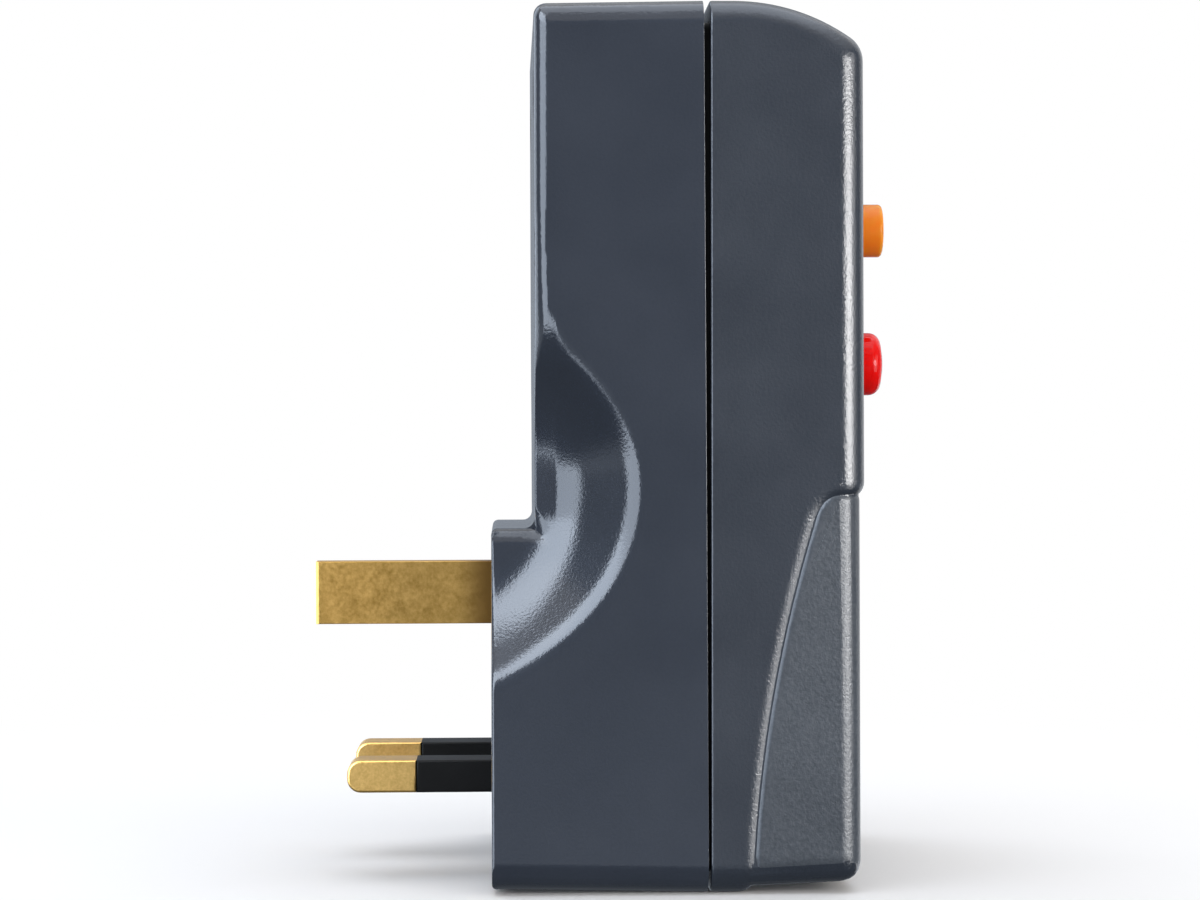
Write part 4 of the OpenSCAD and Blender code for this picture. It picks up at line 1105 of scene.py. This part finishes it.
# Springs, leaf and braids
# Coil springs of steel wire push the reset button, the contact bridge and the shutter back, a brass
# leaf lies under the test button, and copper braids feed the moving contacts. Each is a welded copy
# of its solid; the leaf is cut across in even lines below the test button's stem.
leaf_reach = 8.5 * MM
leaf_step = 0.75 * MM
weld_reach = 0.001 * MM
form_shading = math.radians(40)


def giving_form(node):
    """Copy of a solid that gives way, as one closed mesh."""
    form = bpy.data.objects.new(node + "_form", frame["nodes"][node].data.copy())
    bpy.context.scene.collection.objects.link(form)
    take(form)
    open_mesh("SELECT")
    bpy.ops.mesh.remove_doubles(threshold=weld_reach)
    close_mesh()
    bpy.ops.object.shade_smooth_by_angle(angle=form_shading)
    dress(form, 0, inner_finish[slot_of[node]])
    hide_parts(node)
    return form


for node, joint, along in (
    ("reset_spring", "reset_press", (0, 1, 0)),
    ("opening_springs", "contact_slide", (0, 1, 0)),
    ("shutter_spring", "shutter_slide", (0, 0, 1)),
):
    spring = giving_form(node)
    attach(spring, "casing")
    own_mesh(spring)

leaf = giving_form("test_blade")
leaf_ends = (test_z - leaf_reach, test_z - test_stem_radius - past / 2)
score(leaf, (0, 0, 1), spread(*leaf_ends, leaf_step))
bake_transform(leaf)

for node, side in (("live_braid", 1), ("neutral_braid", -1)):
    braid = giving_form(node)
    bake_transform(braid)


# Studio
# Plain pale floor with a white surround. Soft lights stand at both corners of the near and the far side,
# with a fill on each side and one overhead. The sheens and table bounces light the gloss alone. A grey
# tent round them, which only the gloss sees, keeps the flat sides from mirroring the white surround.
floor_paint_colour = (0.9, 0.87, 0.84, 1)
near_floor = 0.05
far_floor = 0.22
floor_radius = 6
floor_drop = 0.05 * MM
surround_levels = {"To Min": 0.3, "To Max": 1}


def surround_switch(nodes, link):
    """One for camera, glossy and transmitted rays, and nought for the light that reaches the object."""
    path = nodes.new("ShaderNodeLightPath").outputs
    switch = path["Is Camera Ray"]
    for ray in ("Is Glossy Ray", "Is Transmission Ray"):
        either = nodes.new("ShaderNodeMath")
        either.operation = "MAXIMUM"
        link(switch, either.inputs[0])
        link(path[ray], either.inputs[1])
        switch = either.outputs[0]
    return switch


world = bpy.data.worlds.new("white_surround")
world.use_nodes = True
bpy.context.scene.world = world
nodes, link = world.node_tree.nodes, world.node_tree.links.new
surround = nodes["Background"]
preset(surround, {"Color": (1, 1, 1, 1)})
level_range = nodes.new("ShaderNodeMapRange")
preset(level_range, surround_levels)
link(surround_switch(nodes, link), level_range.inputs["Value"])
link(level_range.outputs["Result"], surround.inputs["Strength"])

start()
bpy.ops.mesh.primitive_circle_add(vertices=96, radius=floor_radius, fill_type="NGON")
floor = bpy.context.object
floor.name = "pale_floor"
for vertex in floor.data.vertices:
    vertex.co.z = base_z - floor_drop
floor_paint, nodes, link, paint = blank_material("pale_floor_paint")
preset(paint, {"Base Color": floor_paint_colour, "Roughness": 0.9, "Specular IOR Level": 0})
glow = nodes.new("ShaderNodeEmission")
distance = nodes.new("ShaderNodeVectorMath")
distance.operation = "LENGTH"
link(nodes.new("ShaderNodeTexCoord").outputs["Object"], distance.inputs[0])
fade = nodes.new("ShaderNodeMapRange")
fade.interpolation_type = "SMOOTHSTEP"
preset(fade, {"From Min": near_floor, "From Max": far_floor})
link(distance.outputs["Value"], fade.inputs["Value"])
share = nodes.new("ShaderNodeMath")
share.operation = "MULTIPLY"
link(fade.outputs["Result"], share.inputs[0])
link(surround_switch(nodes, link), share.inputs[1])
mixed = nodes.new("ShaderNodeMixShader")
link(share.outputs[0], mixed.inputs[0])
link(paint.outputs[0], mixed.inputs[1])
link(glow.outputs[0], mixed.inputs[2])
link(mixed.outputs[0], nodes["Material Output"].inputs["Surface"])
floor.data.materials.append(floor_paint)

tent_radius = 2
tent_height = 1.5
tent_band = {"From Min": -1, "From Max": 0}
tent_dark = (0.01, 0.01, 0.01, 1)
tent_tint = (0.9, 1, 1.14, 1)
tent_shades = ((0.18, 0.16), (0.34, 0.55), (0.58, 0.72), (0.74, 0.46), (0.95, 0.38))
start()
bpy.ops.mesh.primitive_cylinder_add(vertices=64, radius=tent_radius, depth=2 * tent_height)
tent = bpy.context.object
tent.name = "grey_tent"
pick_faces(tent, lambda normal: normal.z > 0.9)
bpy.ops.mesh.delete(type="FACE")
close_mesh()
tent_cloth, nodes, link, cloth = blank_material("grey_tent_cloth")
preset(cloth, {"Base Color": tent_dark, "Specular IOR Level": 0, "Emission Color": tent_tint})
height = nodes.new("ShaderNodeSeparateXYZ")
link(nodes.new("ShaderNodeTexCoord").outputs["Object"], height.inputs[0])
band = nodes.new("ShaderNodeMapRange")
preset(band, tent_band)
link(height.outputs["Z"], band.inputs["Value"])
shade = nodes.new("ShaderNodeValToRGB")
link(band.outputs["Result"], shade.inputs["Fac"])
while len(shade.color_ramp.elements) < len(tent_shades):
    shade.color_ramp.elements.new(1)
for stop, (at, grey) in zip(shade.color_ramp.elements, tent_shades):
    stop.position = at
    stop.color = (grey, grey, grey, 1)
link(shade.outputs["Color"], cloth.inputs["Emission Strength"])
tent.data.materials.append(tent_cloth)
for stage_piece in (floor, tent):
    stage_piece.visible_diffuse = False
tent.visible_camera = False
tent.visible_shadow = False
tent.visible_transmission = False
floor.visible_glossy = False

aim = Vector((0, -15, 30)) * MM


def softbox(name, bearing, height, distance, width, tall, radiance, colour, rise=0, diffuse=True, gloss=True):
    """Soft light at a bearing from the camera's side, positive towards the pins, aimed at the object."""
    turn, lift = math.radians(bearing), math.radians(height)
    away = Vector((-math.cos(turn) * math.cos(lift), math.sin(turn) * math.cos(lift), math.sin(lift)))
    bpy.ops.object.light_add(type="AREA")
    lamp = bpy.context.object
    lamp.name = name
    lamp.data.shape = "RECTANGLE"
    lamp.data.size = width
    lamp.data.size_y = tall
    lamp.data.energy = radiance * math.pi * width * tall
    lamp.data.color = colour
    place = aim + away * distance + Vector((0, 0, rise))
    lamp.matrix_world = Matrix.Translation(place) @ away.to_track_quat("Z", "Y").to_matrix().to_4x4()
    lamp.visible_camera = False
    lamp.visible_diffuse = diffuse
    lamp.visible_glossy = gloss


plug_side_colour = (0.76, 0.86, 1)
front_side_colour = (1, 0.99, 0.98)
overhead_colour = (0.8, 0.88, 1)
plain = (1, 1, 1)
softbox("plug_side_light", 54, 0, 0.81, 0.71, 1.39, 1, plug_side_colour, rise=0.45)
softbox("plug_side_sheen", 54, 0, 0.8, 0.71, 0.45, 4.4, plug_side_colour, rise=-0.02, diffuse=False)
softbox("plug_side_high_sheen", 54, 0, 0.8, 0.71, 0.94, 7.5, plug_side_colour, rise=0.675, diffuse=False)
softbox("plug_table_bounce", 24, -27, 0.8, 0.26, 0.18, 3.4, plug_side_colour, diffuse=False)
softbox("front_side_light", -55, 12, 0.8, 0.75, 0.43, 2.4, front_side_colour)
softbox("front_side_sheen", -44, 3, 0.81, 0.45, 0.2, 20, front_side_colour, diffuse=False)
softbox("front_table_bounce", -52, -14, 0.8, 0.42, 0.3, 4, front_side_colour, diffuse=False)
softbox("camera_side_fill", 0, 4, 1.5, 1.6, 1.6, 2.1, plain, gloss=False)
softbox("far_side_fill", 180, 4, 1.5, 1.6, 1.6, 2.1, plain, gloss=False)
softbox("far_plug_side_light", 135, 10, 0.8, 0.55, 1.2, 1.6, plug_side_colour)
softbox("far_front_side_light", -135, 10, 0.8, 0.55, 1.2, 0.8, front_side_colour)
softbox("overhead_light", 0, 89, 0.9, 1, 1, 1.9, overhead_colour)

bpy.context.scene.view_settings.view_transform = "Standard"
